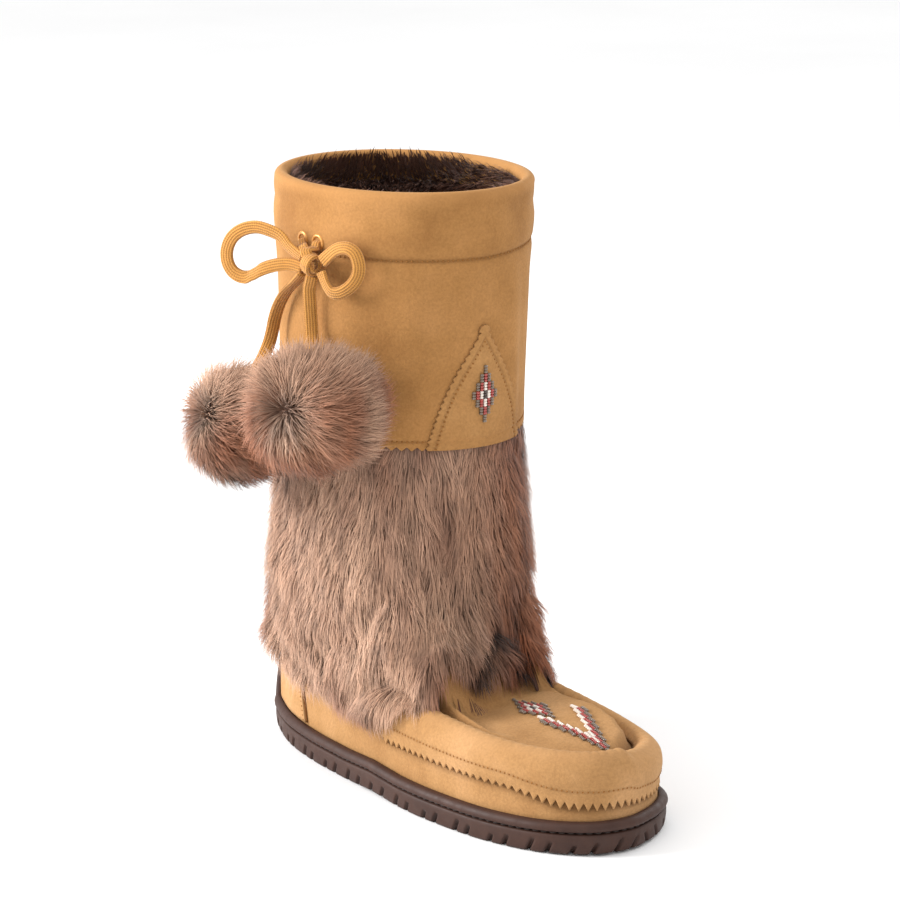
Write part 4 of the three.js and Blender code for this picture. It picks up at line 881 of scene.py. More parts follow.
def makeSole():
    count = 1260
    place = np.arange(count) / count
    column = place * columns
    at = np.stack([np.interp(column, np.arange(columns + 1), np.append(foot[:, i], foot[0, i])) for i in (0, 1)], 1)
    out = unit(np.stack([np.interp(column, np.arange(columns + 1), np.append(footNormal[:, i], footNormal[0, i]))
                         for i in (0, 1)], 1))
    lift = np.interp(column, np.arange(columns + 1), np.append(liftOf, liftOf[0]))
    arc = place * soleAround
    profile = []
    for (i0, h0), (i1, h1) in zip(sole["profile"], sole["profile"][1:]):
        steps = 3 if 0.02 < h0 < 0.55 and i0 < 1 else 1
        profile += [(i0 + (i1 - i0) * s / steps, h0 + (h1 - h0) * s / steps) for s in range(steps)]
    profile.append(sole["profile"][-1])
    pairs = round(soleAround / sole["notchPitch"])
    rows, dark = [], []
    for inset, share in profile:
        height = share * last["soleSide"]
        inward = np.full(count, inset * last["rimWall"])
        cut = np.zeros(count)
        if height < sole["notchHigh"] and inset < 1:
            for i in range(pairs):
                for j, shiftBy in enumerate((0.0, 0.4)):
                    wobble = 0.7 * math.sin(5.3 * i + 2 * j)
                    centre = (i + shiftBy) / pairs * soleAround + wobble
                    lean = sole["notchSlant"] * (1 if centre < soleAround / 2 else -1)
                    apart = np.mod(arc - centre + lean * height + soleAround / 2, soleAround) - soleAround / 2
                    tall = sole["notchHigh"] * (0.82 + 0.18 * math.sin(3.1 * i + j))
                    fade = max(0.0, 1 - height / tall) ** 0.6
                    cut = np.maximum(cut, np.exp(-(apart / sole["notchWide"]) ** 4) * fade)
        inward = inward + cut * sole["notchDeep"]
        rows.append(np.column_stack([at - out * inward[:, None], height + lift]))
        # Painted shade in the notches and in the stitch groove
        groove_shade = 1.0 if 0.63 < share < 0.69 and inset > 0.5 else 0.0
        dark.append(np.maximum(0.55 * cut, groove_shade))
    # The floor of the tread and the floor of the tray close the ring along the sole's middle line
    spine = np.column_stack([at[:, 0] * 0.0, at[:, 1] * 0.72])
    spine[:, 0] = np.interp(at[:, 1], np.sort(at[:, 1]), at[np.argsort(at[:, 1]), 0]) * 0.0
    low, high = [], []
    for share in (0.35, 0.7, 1.0):
        for store, inset, level in ((low, 1.55, sole["lugDepth"]), (high, 1.02, last["trayFloor"])):
            edge = at - out * inset * last["rimWall"]
            store.append(np.column_stack([edge + (spine - edge) * share * 0.999, np.full(count, level) + lift]))
    trayEdge = np.column_stack([at - out * 1.02 * last["rimWall"], last["trayFloor"] + lift])
    sheets = np.stack(low[::-1] + rows + [trayEdge] + high)
    crease = np.concatenate([np.zeros((3, count)), np.stack(dark), np.zeros((4, count))])
    faces = sheetFaces(len(sheets), count, True)
    return newPiece("cup_sole", sheets.reshape(-1, 3), faces, finish["rubber"], {"crease": crease.ravel()})


def makeLugs():
    # Flat bars across the tread, with grooves between
    parts = []
    bars = 14
    for i in range(bars):
        low, high = alongY(0.045 + 0.91 * (i + 0.08) / bars), alongY(0.045 + 0.91 * (i + 0.92) / bars)
        steps = np.linspace(low, high, 7)
        edge = 7.0
        outerX = -np.interp(0.5 - steps / last["soleLength"], soleOutline[:, 0], soleOutline[:, 1]) * 52 + edge
        innerX = np.interp(0.5 - steps / last["soleLength"], soleOutline[:, 0], soleOutline[:, 2]) * 52 - edge
        lift = last["toeSpring"] * np.interp(0.5 - steps / last["soleLength"], soleLift[:, 0], soleLift[:, 1])
        grid = []
        for level, inset in ((3.4, 0.0), (0.5, 0.0), (0.0, 0.5)):
            ring = [(x + inset, y - inset * (0 < k < 1), z) for k, (x, y, z) in
                    enumerate(zip(outerX, steps, level + lift))]
            ring += [(x - inset, y, z) for x, y, z in zip(innerX[::-1], steps[::-1], (level + lift)[::-1])]
            grid.append(ring)
        n = len(grid[0])
        points = np.array(grid).reshape(-1, 3)
        faces = [(r * n + c, r * n + (c + 1) % n, (r + 1) * n + (c + 1) % n, (r + 1) * n + c)
                 for r in range(2) for c in range(n)]
        faces += [(2 * n + k, 2 * n + k + 1, 2 * n + n - 2 - k, 2 * n + n - 1 - k) for k in range(n // 2 - 1)]
        faces += [(n - 1 - k, n - 2 - k, k + 1, k) for k in range(n // 2 - 1)]
        parts.append((points, faces, {"crease": np.zeros(len(points))}))
    points, faces, lanes = joinParts(parts)
    return newPiece("tread_lugs", points, faces, finish["rubber"], lanes, soft=False)


def makeGuard():
    # The rubber tab up the back of the heel, blending into the rim
    rise, half, low = 52 - 16.7, 22.0, 12.0
    theta = np.linspace(0, np.pi, 49)
    rings = []
    for stand, shares in ((4.9, (0.02, 0.3, 0.6, 0.8, 0.92)), (4.5, (0.975,)), (3.6, (1.0,)), (2.2, (1.0,))):
        for share in shares:
            x = half * np.cos(theta) * (1 + 0.4 * (1 - np.sin(theta)) ** 2) * share
            z = low + (rise + 16.7 - low) * np.sin(theta) * share
            rings.append((x, z, stand))
    heel = 0.5 + (soleArc[np.argmax(foot[:, 1])] / soleAround - 0.5)
    points = []
    for x, z, stand in rings:
        place = heel - x / soleAround
        points.append(onLast(place, rowAtLevel(place, np.maximum(z, 12.0)), stand))
    sheets = np.stack(points)
    n = len(theta)
    faces = [(r * n + c, (r + 1) * n + c, (r + 1) * n + c + 1, r * n + c + 1)
             for r in range(len(sheets) - 1) for c in range(n - 1)]
    return newPiece("heel_guard", sheets.reshape(-1, 3), faces, finish["rubber"],
                    {"crease": np.zeros(sheets.shape[0] * n)})


keep(makeSole(), "outsole")
keep(makeLugs())
keep(makeGuard())
grooveInset = 0.42 * last["rimWall"]
groovePoints = np.column_stack([foot - footNormal * grooveInset, 0.66 * last["soleSide"] + liftOf])
keep(linePiece("sole_stitches", groovePoints, np.column_stack([footNormal, np.zeros(columns)]), 4.6, "soleStitch",
               "soleThread", True))
print("stage: sole")


# Upper: the suede foot and shaft wall, and the pile lining inside it
upper = {"wall": 2.0, "columns": 384}


def apronHeight(x, y):
    # The soft apron is humped under its beadwork, dips to the toe and rises to the inner side
    middle = np.interp(y, [-125, -120, -107, -92, -75, -56, -37, -31], [43, 43.4, 46.2, 49.3, 51.4, 50.8, 50, 52])
    return middle + 0.12 * (x - 4)


seamLine = skin[6 * last["finer"], ::6, :2]


def apronShare(points, row):
    # How far a point of the upper follows the apron's own surface
    flat = points[..., :2].reshape(-1, 1, 2)
    apart = np.linalg.norm(flat - seamLine[None], axis=2).min(1).reshape(points.shape[:-1])
    reach = np.interp(points[..., 0], [-25, 5], [9.0, 5.5])
    return smooth(apart / reach, 0.1, 1.0) * (1 - smooth(points[..., 1], -40, -28)) * (row > 6.05)


def underApron(points, row, depth):
    # A sheet under the apron sinks with it
    sunk = np.minimum(0, apronHeight(points[..., 0], points[..., 1]) - depth - points[..., 2])
    points[..., 2] += sunk * apronShare(points, row)
    return points


def apronSink(place, row):
    # The apron dips beside its seam; makeUpper paints shade into the crease round it
    along = alongAt(place)
    front = smooth(along, 0.45, 0.6)
    return front * np.exp(-((row - 6.0) / 0.35) ** 2)


def vampDip(place):
    # The vamp's pinked edge comes lower round the toe
    return 0.6 * smooth(alongAt(place), 0.82, 0.97)


def makeUpper():
    count = upper["columns"]
    place = np.arange(count) / count
    rows = np.concatenate([[0, 0.5, 1.0], np.arange(1.25, 5.9, 0.25), np.arange(5.9, 7.2, 0.1),
                           np.arange(7.25, 9.6, 0.125), np.arange(9.75, 11.1, 0.25), [11.5, 12.0, 12.4, 13.0]])
    outer = np.stack([onLast(place, r, -1.6 * apronSink(place, r)) for r in rows])
    share = apronShare(outer, rows[:, None])
    outer[..., 2] += (apronHeight(outer[..., 0], outer[..., 1]) - outer[..., 2]) * share
    innerRows = np.array([0, 1, 2, 4, 6, 6.25, 6.5, 6.75, 7, 7.5, 8, 8.5, 9, 9.5, 10, 11, 12, 13.0])
    inner = np.stack([onLast(place, r, -upper["wall"]) for r in innerRows])
    inner = underApron(inner, innerRows[:, None], upper["wall"] + 0.2)
    along = alongAt(place)
    # Painted shade in the crease round the apron's seam, and a painted shadow on the upper just under the vamp's pinked
    # edge
    crease = np.stack([0.75 * np.exp(-((r - 6.0) / 0.16) ** 2) * smooth(along, 0.45, 0.6) for r in rows])
    vamp_edge_shadow = np.stack([np.exp(-((r - 2.2 + vampDip(place)) / 0.3) ** 2) * smooth(along, 0.48, 0.53) for r in rows])
    crease = np.maximum(crease, 0.75 * vamp_edge_shadow)
    scuff_and_highlight = np.zeros_like(crease)
    return wallPiece("suede_upper", outer, inner, True, finish["foot"],
                     {"crease": (crease, 0.0), "scuff_and_highlight": (scuff_and_highlight, 0.0)})


def makeLining():
    count = 240
    place = np.arange(count) / count
    rows = np.concatenate([[0.75], np.arange(1, 6.1, 0.5), [6.25, 6.5, 6.75], np.arange(7, 12.1, 0.5),
                           [12.3, 12.6, 12.85, 12.97]])
    turn = 2 * np.pi * place
    wavy = [0.7 * np.sin(9 * turn + 2.1 * r) + 0.5 * np.sin(17 * turn - 1.3 * r) for r in rows]
    outer = np.stack([onLast(place, r, -upper["wall"] - 0.3) for r in rows])
    inner = np.stack([onLast(place, r, -upper["wall"] - 2.4 - 0.5 * w) for r, w in zip(rows, wavy)])
    outer = underApron(outer, rows[:, None], upper["wall"] + 0.6)
    inner = underApron(inner, rows[:, None], upper["wall"] + 3.2)
    zero = np.zeros(outer.shape[:2])
    # Painted shade on the pile face, darker deeper down inside the shaft
    deep = np.stack([np.full(count, 0.5 * (1 - smooth(r, 8, 12.0))) for r in rows])
    return wallPiece("pile_lining", outer, inner, True, finish["pile"],
                     {"tone": (zero + 0.6, 0.6), "along": (zero + 0.5, 0.5), "fold": (zero, deep),
                      "ruddy": (zero, 0.0), "pale": (zero, 0.0)})


def makeInsole():
    count = 320
    column = np.arange(count) * columns // count
    at, out, lift = foot[column], footNormal[column], liftOf[column]
    sheets = []
    for inset, level in ((40, 8.4), (9, 8.4), (8.6, 8.8), (8.6, 12.0), (9.4, 12.4), (16, 12.6), (40, 12.8)):
        edge = at - out * min(inset, 16)
        if inset == 40:
            edge = edge * 0.0 + np.column_stack([np.full(count, -3.0), at[:, 1] * 0.75])
        sheets.append(np.column_stack([edge, level + lift]))
    return newPiece("felt_insole", np.stack(sheets).reshape(-1, 3), sheetFaces(len(sheets), count, True),
                    finish["felt"])


keep(makeUpper(), "upper")
keep(makeLining())
keep(makeInsole(), "insole")


# Vamp: suede rolled over the foot's edge, pinked below, with a row of stitches above the teeth
vamp = {"pitch": 5.0, "depth": 0.36, "wall": 1.6, "from": 0.5, "stitchRow": 3.0}


def vampPlaces(count):
    behind = np.where(foot[:, 1] < alongY(vamp["from"]))[0]
    split = np.where(np.diff(behind) > 1)[0]
    first, final = behind[split[0] + 1] - columns, behind[split[0]]
    return np.linspace(first, final, count) / columns


def makeVamp():
    place = vampPlaces(900)
    arc = place * soleAround
    dip = vampDip(place)
    edge = 2.0 - dip + vamp["depth"] * (1 - tooth(arc, vamp["pitch"]))
    rows = np.concatenate([[0.0, 0.02], np.linspace(0.06, 1, 34) ** 1.15])
    outer, crease = [], []
    for share in rows:
        row = edge + (6.0 - edge) * share
        stand = (last["clearance"] + vamp["wall"]) * (1 - 0.75 * smooth(row, 5.35, 6.0)) - 0.25 * (share < 0.01)
        pucker = 0.22 * np.sin(2 * np.pi * arc / 6.5 + 1.2 * np.sin(arc / 17)) * smooth(row, 4.4, 5.6)
        outer.append(onLast(place, row, stand + pucker))
        # Painted shade where the roll dives into the apron seam, and in a thin line along the stitch row
        crease.append(0.7 * smooth(row, 5.72, 5.98) + 0.3 * np.exp(-((row + dip - vamp["stitchRow"]) / 0.08) ** 2)
                      - 0.3 * (share < 0.03))
    inner = [onLast(place, edge + (5.95 - edge) * share, last["clearance"] * (1 - 0.8 * share))
             for share in (0, 0.25, 0.5, 0.75, 1)]
    crease = np.stack(crease)
    # Painted highlight with some scuffing, in a band along the roll's crest
    scuff_and_highlight = np.stack([0.3 * np.exp(-(((edge + (6.0 - edge) * share) - 4.7) / 0.6) ** 2) * np.ones_like(place)
                       for share in rows])
    return wallPiece("rolled_vamp", np.stack(outer), np.stack(inner), False, finish["foot"],
                     {"crease": (crease, 0.0), "scuff_and_highlight": (scuff_and_highlight, 0.0)})


keep(makeVamp(), "moccasin_vamp")
stitchPlaces = vampPlaces(700)
stitchRows = vamp["stitchRow"] - vampDip(stitchPlaces)
keep(linePiece("vamp_stitches", onLast(stitchPlaces, stitchRows, 1.95), normalAt(stitchPlaces, stitchRows), 2.6, "hole",
               "thread"))


# Heel counter: a suede piece round the heel, sewn near its front edges
counter = {"reach": 62, "lean": 12, "top": 60, "wall": 1.4}


def counterFront(level):
    return alongY(0) - counter["reach"] + counter["lean"] * (level - 17) / 43


def makeCounter():
    levels = np.linspace(17.6, counter["top"], 24)
    heel = np.argmax(foot[:, 1])
    sheets = {0.3: [], 1.7: []}
    for level in levels:
        front = counterFront(level)
        outerSide = np.interp(-front, -foot[:heel, 1][np.argsort(-foot[:heel, 1])],
                              np.arange(heel)[np.argsort(-foot[:heel, 1])])
        innerIndex = np.arange(heel, columns)
        innerSide = np.interp(-front, -foot[innerIndex, 1], innerIndex)
        place = np.linspace(outerSide, innerSide, 200) / columns
        lift = np.interp(np.mod(place, 1) * columns, np.arange(columns + 1), np.append(liftOf, liftOf[0]))
        row = rowAtLevel(place, level + lift * (1 - (level - 17) / 43))
        for stand, rows in sheets.items():
            rows.append(onLast(place, row, stand))
    outer, inner = np.stack(sheets[1.7]), np.stack(sheets[0.3])
    zero = np.zeros(outer.shape[:2])
    # Painted shade along the counter's two front edges, where it steps down onto the upper
    zero[:, :2] = 0.5
    zero[:, -2:] = 0.5
    return wallPiece("suede_heel_counter", outer, inner, False, finish["foot"],
                     {"crease": (zero, 0.0), "scuff_and_highlight": (np.zeros_like(zero), 0.0)})


keep(makeCounter(), "heel_counter")
for side, low, high in (("outer", 0, int(np.argmax(foot[:, 1]))), ("inner", int(np.argmax(foot[:, 1])), columns)):
    levels = np.linspace(18.5, 58, 60)
    index = np.arange(low, high)
    order = np.argsort(foot[index, 1])
    seamPlace = np.interp(counterFront(levels) + 2.6, foot[index, 1][order], index[order]) / columns
    seamRow = rowAtLevel(seamPlace, levels)
    keep(linePiece("counter_stitches_" + side, onLast(seamPlace, seamRow, 1.75), normalAt(seamPlace, seamRow), 2.4,
                   "hole", "thread"))


# Cuff: suede turned over the collar, a stitched channel for the lace, and a pinked hem
cuff = {"pitch": 5.2, "teeth": 2.4, "channel": 278.5, "channelClimb": 3.0, "hemStitch": 5.5, "fold": 16, "columns": 900}


def channelHeight(place):
    angle = np.interp(np.mod(place, 1) * columns, np.arange(columns + 1), np.append(angleOf, angleOf[0] + 2 * np.pi))
    return cuff["channel"] + cuff["channelClimb"] * np.maximum(0, -np.sin(angle))


def cuffDrape(place, height):
    # Soft hand folds in the suede, in millimetres
    angle = 2 * np.pi * np.mod(place, 1)
    body = smooth(height, 186, 205) * (1 - smooth(height, 268, 276))
    drape = 0.7 * np.sin(3 * angle + 0.8 + height / 70) + 0.45 * np.sin(7 * angle - height / 33 + 1.1)
    hollow = -1.1 * np.exp(-((height - channelHeight(place)) / 1.5) ** 2)
    puff = 0.7 * np.exp(-((height - channelHeight(place) - 10) / 7) ** 2)
    puff = puff + 0.35 * np.sin(5 * angle + 2) * smooth(height, 284, 300)
    ridge = -0.5 * np.exp(-((height - 299) / 2.5) ** 2)
    hem = -0.5 * np.exp(-((height - hemAt(place) - cuff["hemStitch"]) / 1.1) ** 2)
    return drape * body + hollow + puff + ridge + hem


def makeCuff():
    count = cuff["columns"]
    place = cuffPlace(np.arange(count) * cuffArc[-1] / count)
    arc = np.arange(count) * cuffArc[-1] / count
    pitch = cuffArc[-1] / round(cuffArc[-1] / cuff["pitch"])
    hem = hemAt(place)
    edge = hem + cuff["teeth"] * (1 - tooth(arc, pitch))
    high, low = cuffStand, last["clearance"]
    inner = -3.0 - last["clearance"]
    deep = inner - last["cuffWall"]
    middle, round_ = (high + deep) / 2, (high - deep) / 2
    heights = [0.0, 0.3, 1.2, 2.2, 3.2, 4.2, 5.0, 5.5, 6.0, 7.0, 9.0, 12] + list(range(18, 88, 5)) + [
        92, 94, 96, 97, 97.7, 98.4, 99.2, 100, 101, 103, 106, 110, 114, 117, 119, 121, 123, 125]
    top = last["bootHeight"] - round_
    outer, crease = [], []
    for h in heights:
        level = np.maximum(edge + h * (1 if h < 3 else 0), hem + h) if h >= 3 else edge + h * 0.4
        level = np.minimum(level, top)
        stand = high + cuffDrape(place, level) - (0.35 if h == 0 else 0.0)
        outer.append(onLast(place, rowAtHeight(place, level), stand))
        # Painted shade in the lace channel, along the hem's stitch line and at the pinked hem's edge
        crease.append(0.45 * np.exp(-((level - channelHeight(place)) / 0.9) ** 2)
                      + 0.3 * np.exp(-((level - hem - cuff["hemStitch"]) / 0.7) ** 2) + (0.25 if h == 0 else 0.0))
    for degrees in range(0, 181, 15):
        a = math.radians(degrees)
        base = onLast(place, 13.0, middle + (round_ + 0.35 * np.sin(6 * 2 * np.pi * place + 1)) * math.cos(a))
        base[:, 2] = top + round_ * math.sin(a)
        outer.append(base)
        crease.append(np.zeros(count))
    for drop in (5, 10, cuff["fold"]):
        base = onLast(place, rowAtHeight(place, last["bootHeight"] - drop), deep)
        outer.append(base)
        crease.append(np.zeros(count))
    lower = [onLast(place, rowAtHeight(place, edge + 0.2), low), onLast(place, rowAtHeight(place, hem + 6), low)]
    lower += [onLast(place, rowAtHeight(place, np.full(count, float(h))), low) for h in (220, 265, 300)]
    turn = onLast(place, 13.0, low)
    turn[:, 2] = collarTop + last["clearance"]
    back = onLast(place, 13.0, inner)
    back[:, 2] = collarTop + last["clearance"]
    lower += [turn, back, onLast(place, rowAtHeight(place, last["bootHeight"] - cuff["fold"]), inner)]
    outer, crease = np.stack(outer), np.stack(crease)
    # Painted highlight with some scuffing along the top of the cuff's fold
    rim = np.stack([0.5 * smooth(row[:, 2], 304, 311) for row in outer])
    return wallPiece("suede_cuff", outer, np.stack(lower), True, finish["cuff"],
                     {"crease": (crease, 0.0), "scuff_and_highlight": (rim, 0.0)})


keep(makeCuff(), "shaft_cuff")
ringPlace = cuffPlace(np.arange(700) * cuffArc[-1] / 700)
for name, heights, stand in (
        ("cuff_channel_stitches", channelHeight(ringPlace), cuffStand - 0.75),
        ("cuff_hem_stitches", hemAt(ringPlace) + cuff["hemStitch"], cuffStand - 0.25)):
    rows = rowAtHeight(ringPlace, heights)
    keep(linePiece(name, onLast(ringPlace, rows, stand), normalAt(ringPlace, rows), 2.6, "hole", "thread",
                   True))
print("stage: suede")


# Patch: a triangle with two pinked sides and a running stitch inside them
patch = {"width": 60, "height": 66, "turn": 0.8, "wall": 1.2, "pitch": 3.9, "teeth": 1.5, "bow": 4.0, "stitchIn": 4.2}
patchArc = arcAt(placeAtAngle(np.array([math.radians(patch["turn"])])))[0]


def onPatch(x, height, stand):
    # x runs to the wearer's outer side, which is the photo's left
    place = cuffPlace(patchArc + x)
    return onLast(place, rowAtHeight(place, height), stand)


def patchNormal(x, height):
    place = cuffPlace(patchArc + x)
    return normalAt(place, rowAtHeight(place, height))


def patchHalf(share, inset=0.0):
    # Half the patch's width at a share of its height; the tip is rounded
    straight = patch["width"] / 2 * (1 - share)
    return np.maximum(straight + patch["bow"] * np.sin(np.pi * share) * 1.2 - inset * 1.1, 0.0)


def makePatch():
    base, tip = last["cuffHem"] + 0.6, last["cuffHem"] + patch["height"]
    share = np.concatenate([np.linspace(0, 0.93, 150), 0.93 + 0.07 * np.sin(np.linspace(0.05, np.pi / 2, 24))])
    across = np.linspace(-1, 1, 34)
    across = np.sign(across) * (1 - (1 - np.abs(across)) ** 1.6)
    outer, inner, crease = [], [], []
    for s in share:
        height = base + (tip - base) * s
        half = patchHalf(s)
        if s > 0.93:
            half = patchHalf(0.93) * math.sqrt(max(0.0, 1 - ((s - 0.93) / 0.07) ** 2))
        slope = s * patch["height"] * 1.12
        teeth = patch["teeth"] * float(tooth(np.array(slope), patch["pitch"])) * (half > 3)
        x = across * (half - teeth + 0.6)
        puff = 0.5 * (1 - np.abs(across) ** 6)
        ditch = -0.35 * np.exp(-((half - np.abs(x) - patch["stitchIn"]) / 0.7) ** 2)
        level = np.full_like(x, height)
        drape = cuffDrape(cuffPlace(patchArc + x), level)
        outer.append(onPatch(x, level, cuffStand + 0.4 + patch["wall"] * 0.6 + puff + ditch + drape))
        inner.append(onPatch(x, level, cuffStand + 0.15 + drape))
        # Painted shade in the stitch ditch and at the patch's raised edges
        crease.append(0.3 * np.exp(-((half - np.abs(x) - patch["stitchIn"]) / 0.6) ** 2)
                      + 0.35 * smooth(np.abs(across), 0.97, 1.0))
    crease = np.stack(crease)
    # The wall's columns run clockwise, towards the outer side
    return wallPiece("pinked_patch", np.stack(outer), np.stack(inner), False, finish["patch"],
                     {"crease": (crease, 0.0), "scuff_and_highlight": (np.zeros_like(crease), 0.0)})


keep(makePatch(), "cuff_patch")
shareLine = np.linspace(0.02, 0.9, 120)
patchX = np.concatenate([patchHalf(shareLine, patch["stitchIn"]), -patchHalf(shareLine, patch["stitchIn"])[::-1]])
patchZ = last["cuffHem"] + patch["height"] * 0.98 * np.concatenate([shareLine, shareLine[::-1]])
patchStand = cuffStand + patch["wall"] + 0.35 + cuffDrape(cuffPlace(patchArc + patchX), patchZ)
keep(linePiece("patch_stitches", onPatch(patchX, patchZ, patchStand), patchNormal(patchX, patchZ), 2.5, "hole",
               "thread"))


# Beadwork, charted: columns of blocks, each block a few beads long
beadColours = {"grey": "#7B6A5B", "red": "#AE443B", "white": "#F2E6DA", "dark": "#4B3A34"}
ringColours = ["dark", "white", "red", "grey"]
beadwork = {"pitch": 2.1, "beads": 3, "bead": 1.47, "shaftHeight": 211}


def beadPiece(name, points, outward, across, colours, size, node):
    mesh = bpy.data.meshes.new(name)
    mesh.from_pydata(((np.asarray(points) + shift) * mm).tolist(), [], [])
    for key, values in (("out", outward), ("across", across)):
        layer = mesh.attributes.new(key, "FLOAT_VECTOR", "POINT")
        layer.data.foreach_set("vector", np.asarray(values, np.float32).ravel())
    layer = mesh.attributes.new("beadColour", "FLOAT_COLOR", "POINT")
    layer.data.foreach_set("color", np.asarray([linear(beadColours[c]) for c in colours], np.float32).ravel())
    piece = bpy.data.objects.new(name, mesh)
    bpy.context.scene.collection.objects.link(piece)
    return keep(grow(piece, trees["bead"], Bead=shapes["bead"], Size=size, Material=finish["beads"]), node)


def diamondChart():
    # One colour to a ring, from the middle outwards
    return [(c, r, ringColours[abs(c) + abs(r)]) for c in range(-3, 4) for r in range(-3, 4) if abs(c) + abs(r) <= 3]


def makeShaftBeads():
    spots, colours = [], []
    for c, r, colour in diamondChart():
        for k in range(3):
            spots.append((c * beadwork["pitch"], beadwork["shaftHeight"] + (r * 3 + k - 1) * beadwork["bead"]))
            colours.append(colour)
    x, z = np.array(spots).T
    stand = cuffStand + patch["wall"] + 1.35 + cuffDrape(cuffPlace(patchArc + x), z)
    points = onPatch(x, z, stand)
    across = unit(onPatch(x + 0.5, z, stand) - onPatch(x - 0.5, z, stand))
    beadPiece("bead_diamond_patch", points, patchNormal(x, z), across, colours, 1.42, "beads_shaft_diamond")


# On the apron, x and y are the boot's own, and each bead finds its height on the apron under it
apron = {"middle": 4.0, "diamond": alongY(0.698), "tip": alongY(0.912), "row": 5.5, "beads": 4, "turn": -5.0,
         "steps": 8, "arm": 46.0, "spread": 14.0, "columns": 3}
apronSheet = skin[int(6.05 * last["finer"]):int(9.5 * last["finer"])]
apronNormals = skinNormal[int(6.05 * last["finer"]):int(9.5 * last["finer"])]


def onApron(x, y):
    flatPoints = apronSheet.reshape(-1, 3)
    flatNormals = apronNormals.reshape(-1, 3)
    points, normals = [], []
    for px, py in zip(x, y):
        near = np.argsort((flatPoints[:, 0] - px) ** 2 + (flatPoints[:, 1] - py) ** 2)[:12]
        weight = 1 / (np.hypot(flatPoints[near, 0] - px, flatPoints[near, 1] - py) + 0.5)
        weight /= weight.sum()
        points.append((px, py, (flatPoints[near, 2] * weight).sum()))
        normals.append((flatNormals[near] * weight[:, None]).sum(0))
    return np.array(points), unit(np.array(normals))


def makeApronBeads(name, blocks, middleY, node):
    # Each block is a few beads one behind another, turned with the whole motif
    spots, colours = [], []
    turn = math.radians(apron["turn"])
    for bx, by, colour in blocks:
        for k in range(apron["beads"]):
            y = by + (k - (apron["beads"] - 1) / 2) * apron["row"] / apron["beads"]
            spots.append((apron["middle"] + bx * math.cos(turn) - y * math.sin(turn),
                          middleY + bx * math.sin(turn) + y * math.cos(turn)))
            colours.append(colour)
    x, y = np.array(spots).T
    points, normals = onApron(x, y)
    points[:, 2] += (apronHeight(x, y) - points[:, 2]) * apronShare(points, 7)
    across = np.tile([math.cos(turn), math.sin(turn), 0], (len(points), 1))
    across = unit(across - normals * (across * normals).sum(1, keepdims=True))
    beadPiece(name, points + normals * 0.8, normals, across, colours, 1.4, node)


def diamondBlocks():
    return [(c * beadwork["pitch"], r * apron["row"], colour) for c, r, colour in diamondChart()]


def chevronBlocks():
    # From the tip back along both arms: grey-brown outside, then red, then white inside
    step = apron["arm"] / apron["steps"]
    blocks = [(0.0, -0.2 * step, "grey")]
    for i in range(apron["steps"] + 1):
        out, back = apron["spread"] * i / apron["steps"], step * i
        for k, colour in enumerate(("grey", "red", "white")):
            x = out - k * beadwork["pitch"]
            if i == apron["steps"] and colour != "white":
                continue
            for side in (1, -1):
                if x > 0.8:
                    blocks.append((side * x, back, colour))
                elif side == 1 and abs(x) <= 1.3 and i < 4:
                    blocks.append((0.0, back, colour))
    return blocks


makeShaftBeads()
makeApronBeads("bead_diamond_toe", diamondBlocks(), apron["diamond"], "beads_toe_diamond")
makeApronBeads("bead_chevron_toe", chevronBlocks(), apron["tip"], "beads_toe_chevron")
print("stage: beadwork")


# Fur band: a pelt round the ankle, with its hairs combed down
fur = {"depth": 10, "tip": 3.0, "columns": 300, "density": 1.5e6, "length": 14.5, "width": 0.42, "top": 12.03,
       "lift": 0.55}


def furHemRow(place):
    along = alongAt(place)
    # The hairs hang below the pelt's own hem
    inner = smooth(np.abs(np.mod(place, 1) - 0.84), 0.12, 0.05)
    return (np.interp(along, furHem[:, 0], furHem[:, 1])
            + fur["lift"] * (0.9 + 0.5 * smooth(along, 0.6, 0.75) + 0.6 * inner * smooth(along, 0.5, 0.6)))


def frontness(place):
    # The signed share of the way round from the front's middle; its sign tells the side
    turned = np.mod(place + 0.5, 1.0) - 0.5
    return turned


def foldAt(place, row):
    # The puffed fold over the instep: a crease that runs down to both sides, darkened with painted shade
    turned = frontness(place)
    crest = 9.9 - 14.0 * np.abs(turned + 0.01) - 40 * np.maximum(0, np.abs(turned) - 0.12)
    reach = 1 - smooth(np.abs(turned), 0.13, 0.2)
    crease = np.exp(-((row - crest) / 0.28) ** 2) * reach
    puff = np.exp(-((row - crest + 0.9) / 0.55) ** 2) * reach
    return crease, puff


def peltStand(place, row, up):
    depth = np.interp(up, furProfile[:, 0], furProfile[:, 1]) * fur["depth"]
    crease, puff = foldAt(place, row)
    lumps = 0.8 * np.sin(2 * np.pi * place * 9 + row * 1.7) + 0.6 * np.sin(2 * np.pi * place * 17 - row * 2.3)
    front = smooth(np.cos(2 * np.pi * (place + 0.06)), 0.55, 0.9) * (1 - smooth(up, 0.35, 0.6))
    body = depth - fur["tip"] + lumps * smooth(up, 0, 0.2) * (1 - smooth(up, 0.8, 1)) - 4.0 * crease + 1.6 * puff
    innerFoot = np.exp(-((np.mod(place, 1) - 0.84) / 0.07) ** 2) * (1 - smooth(up, 0.45, 0.65))
    body = np.maximum(body - 2.2 * front - 4.0 * innerFoot, 0.9)
    return body + (1.0 - body) * smooth(up, 0.93, 0.985)


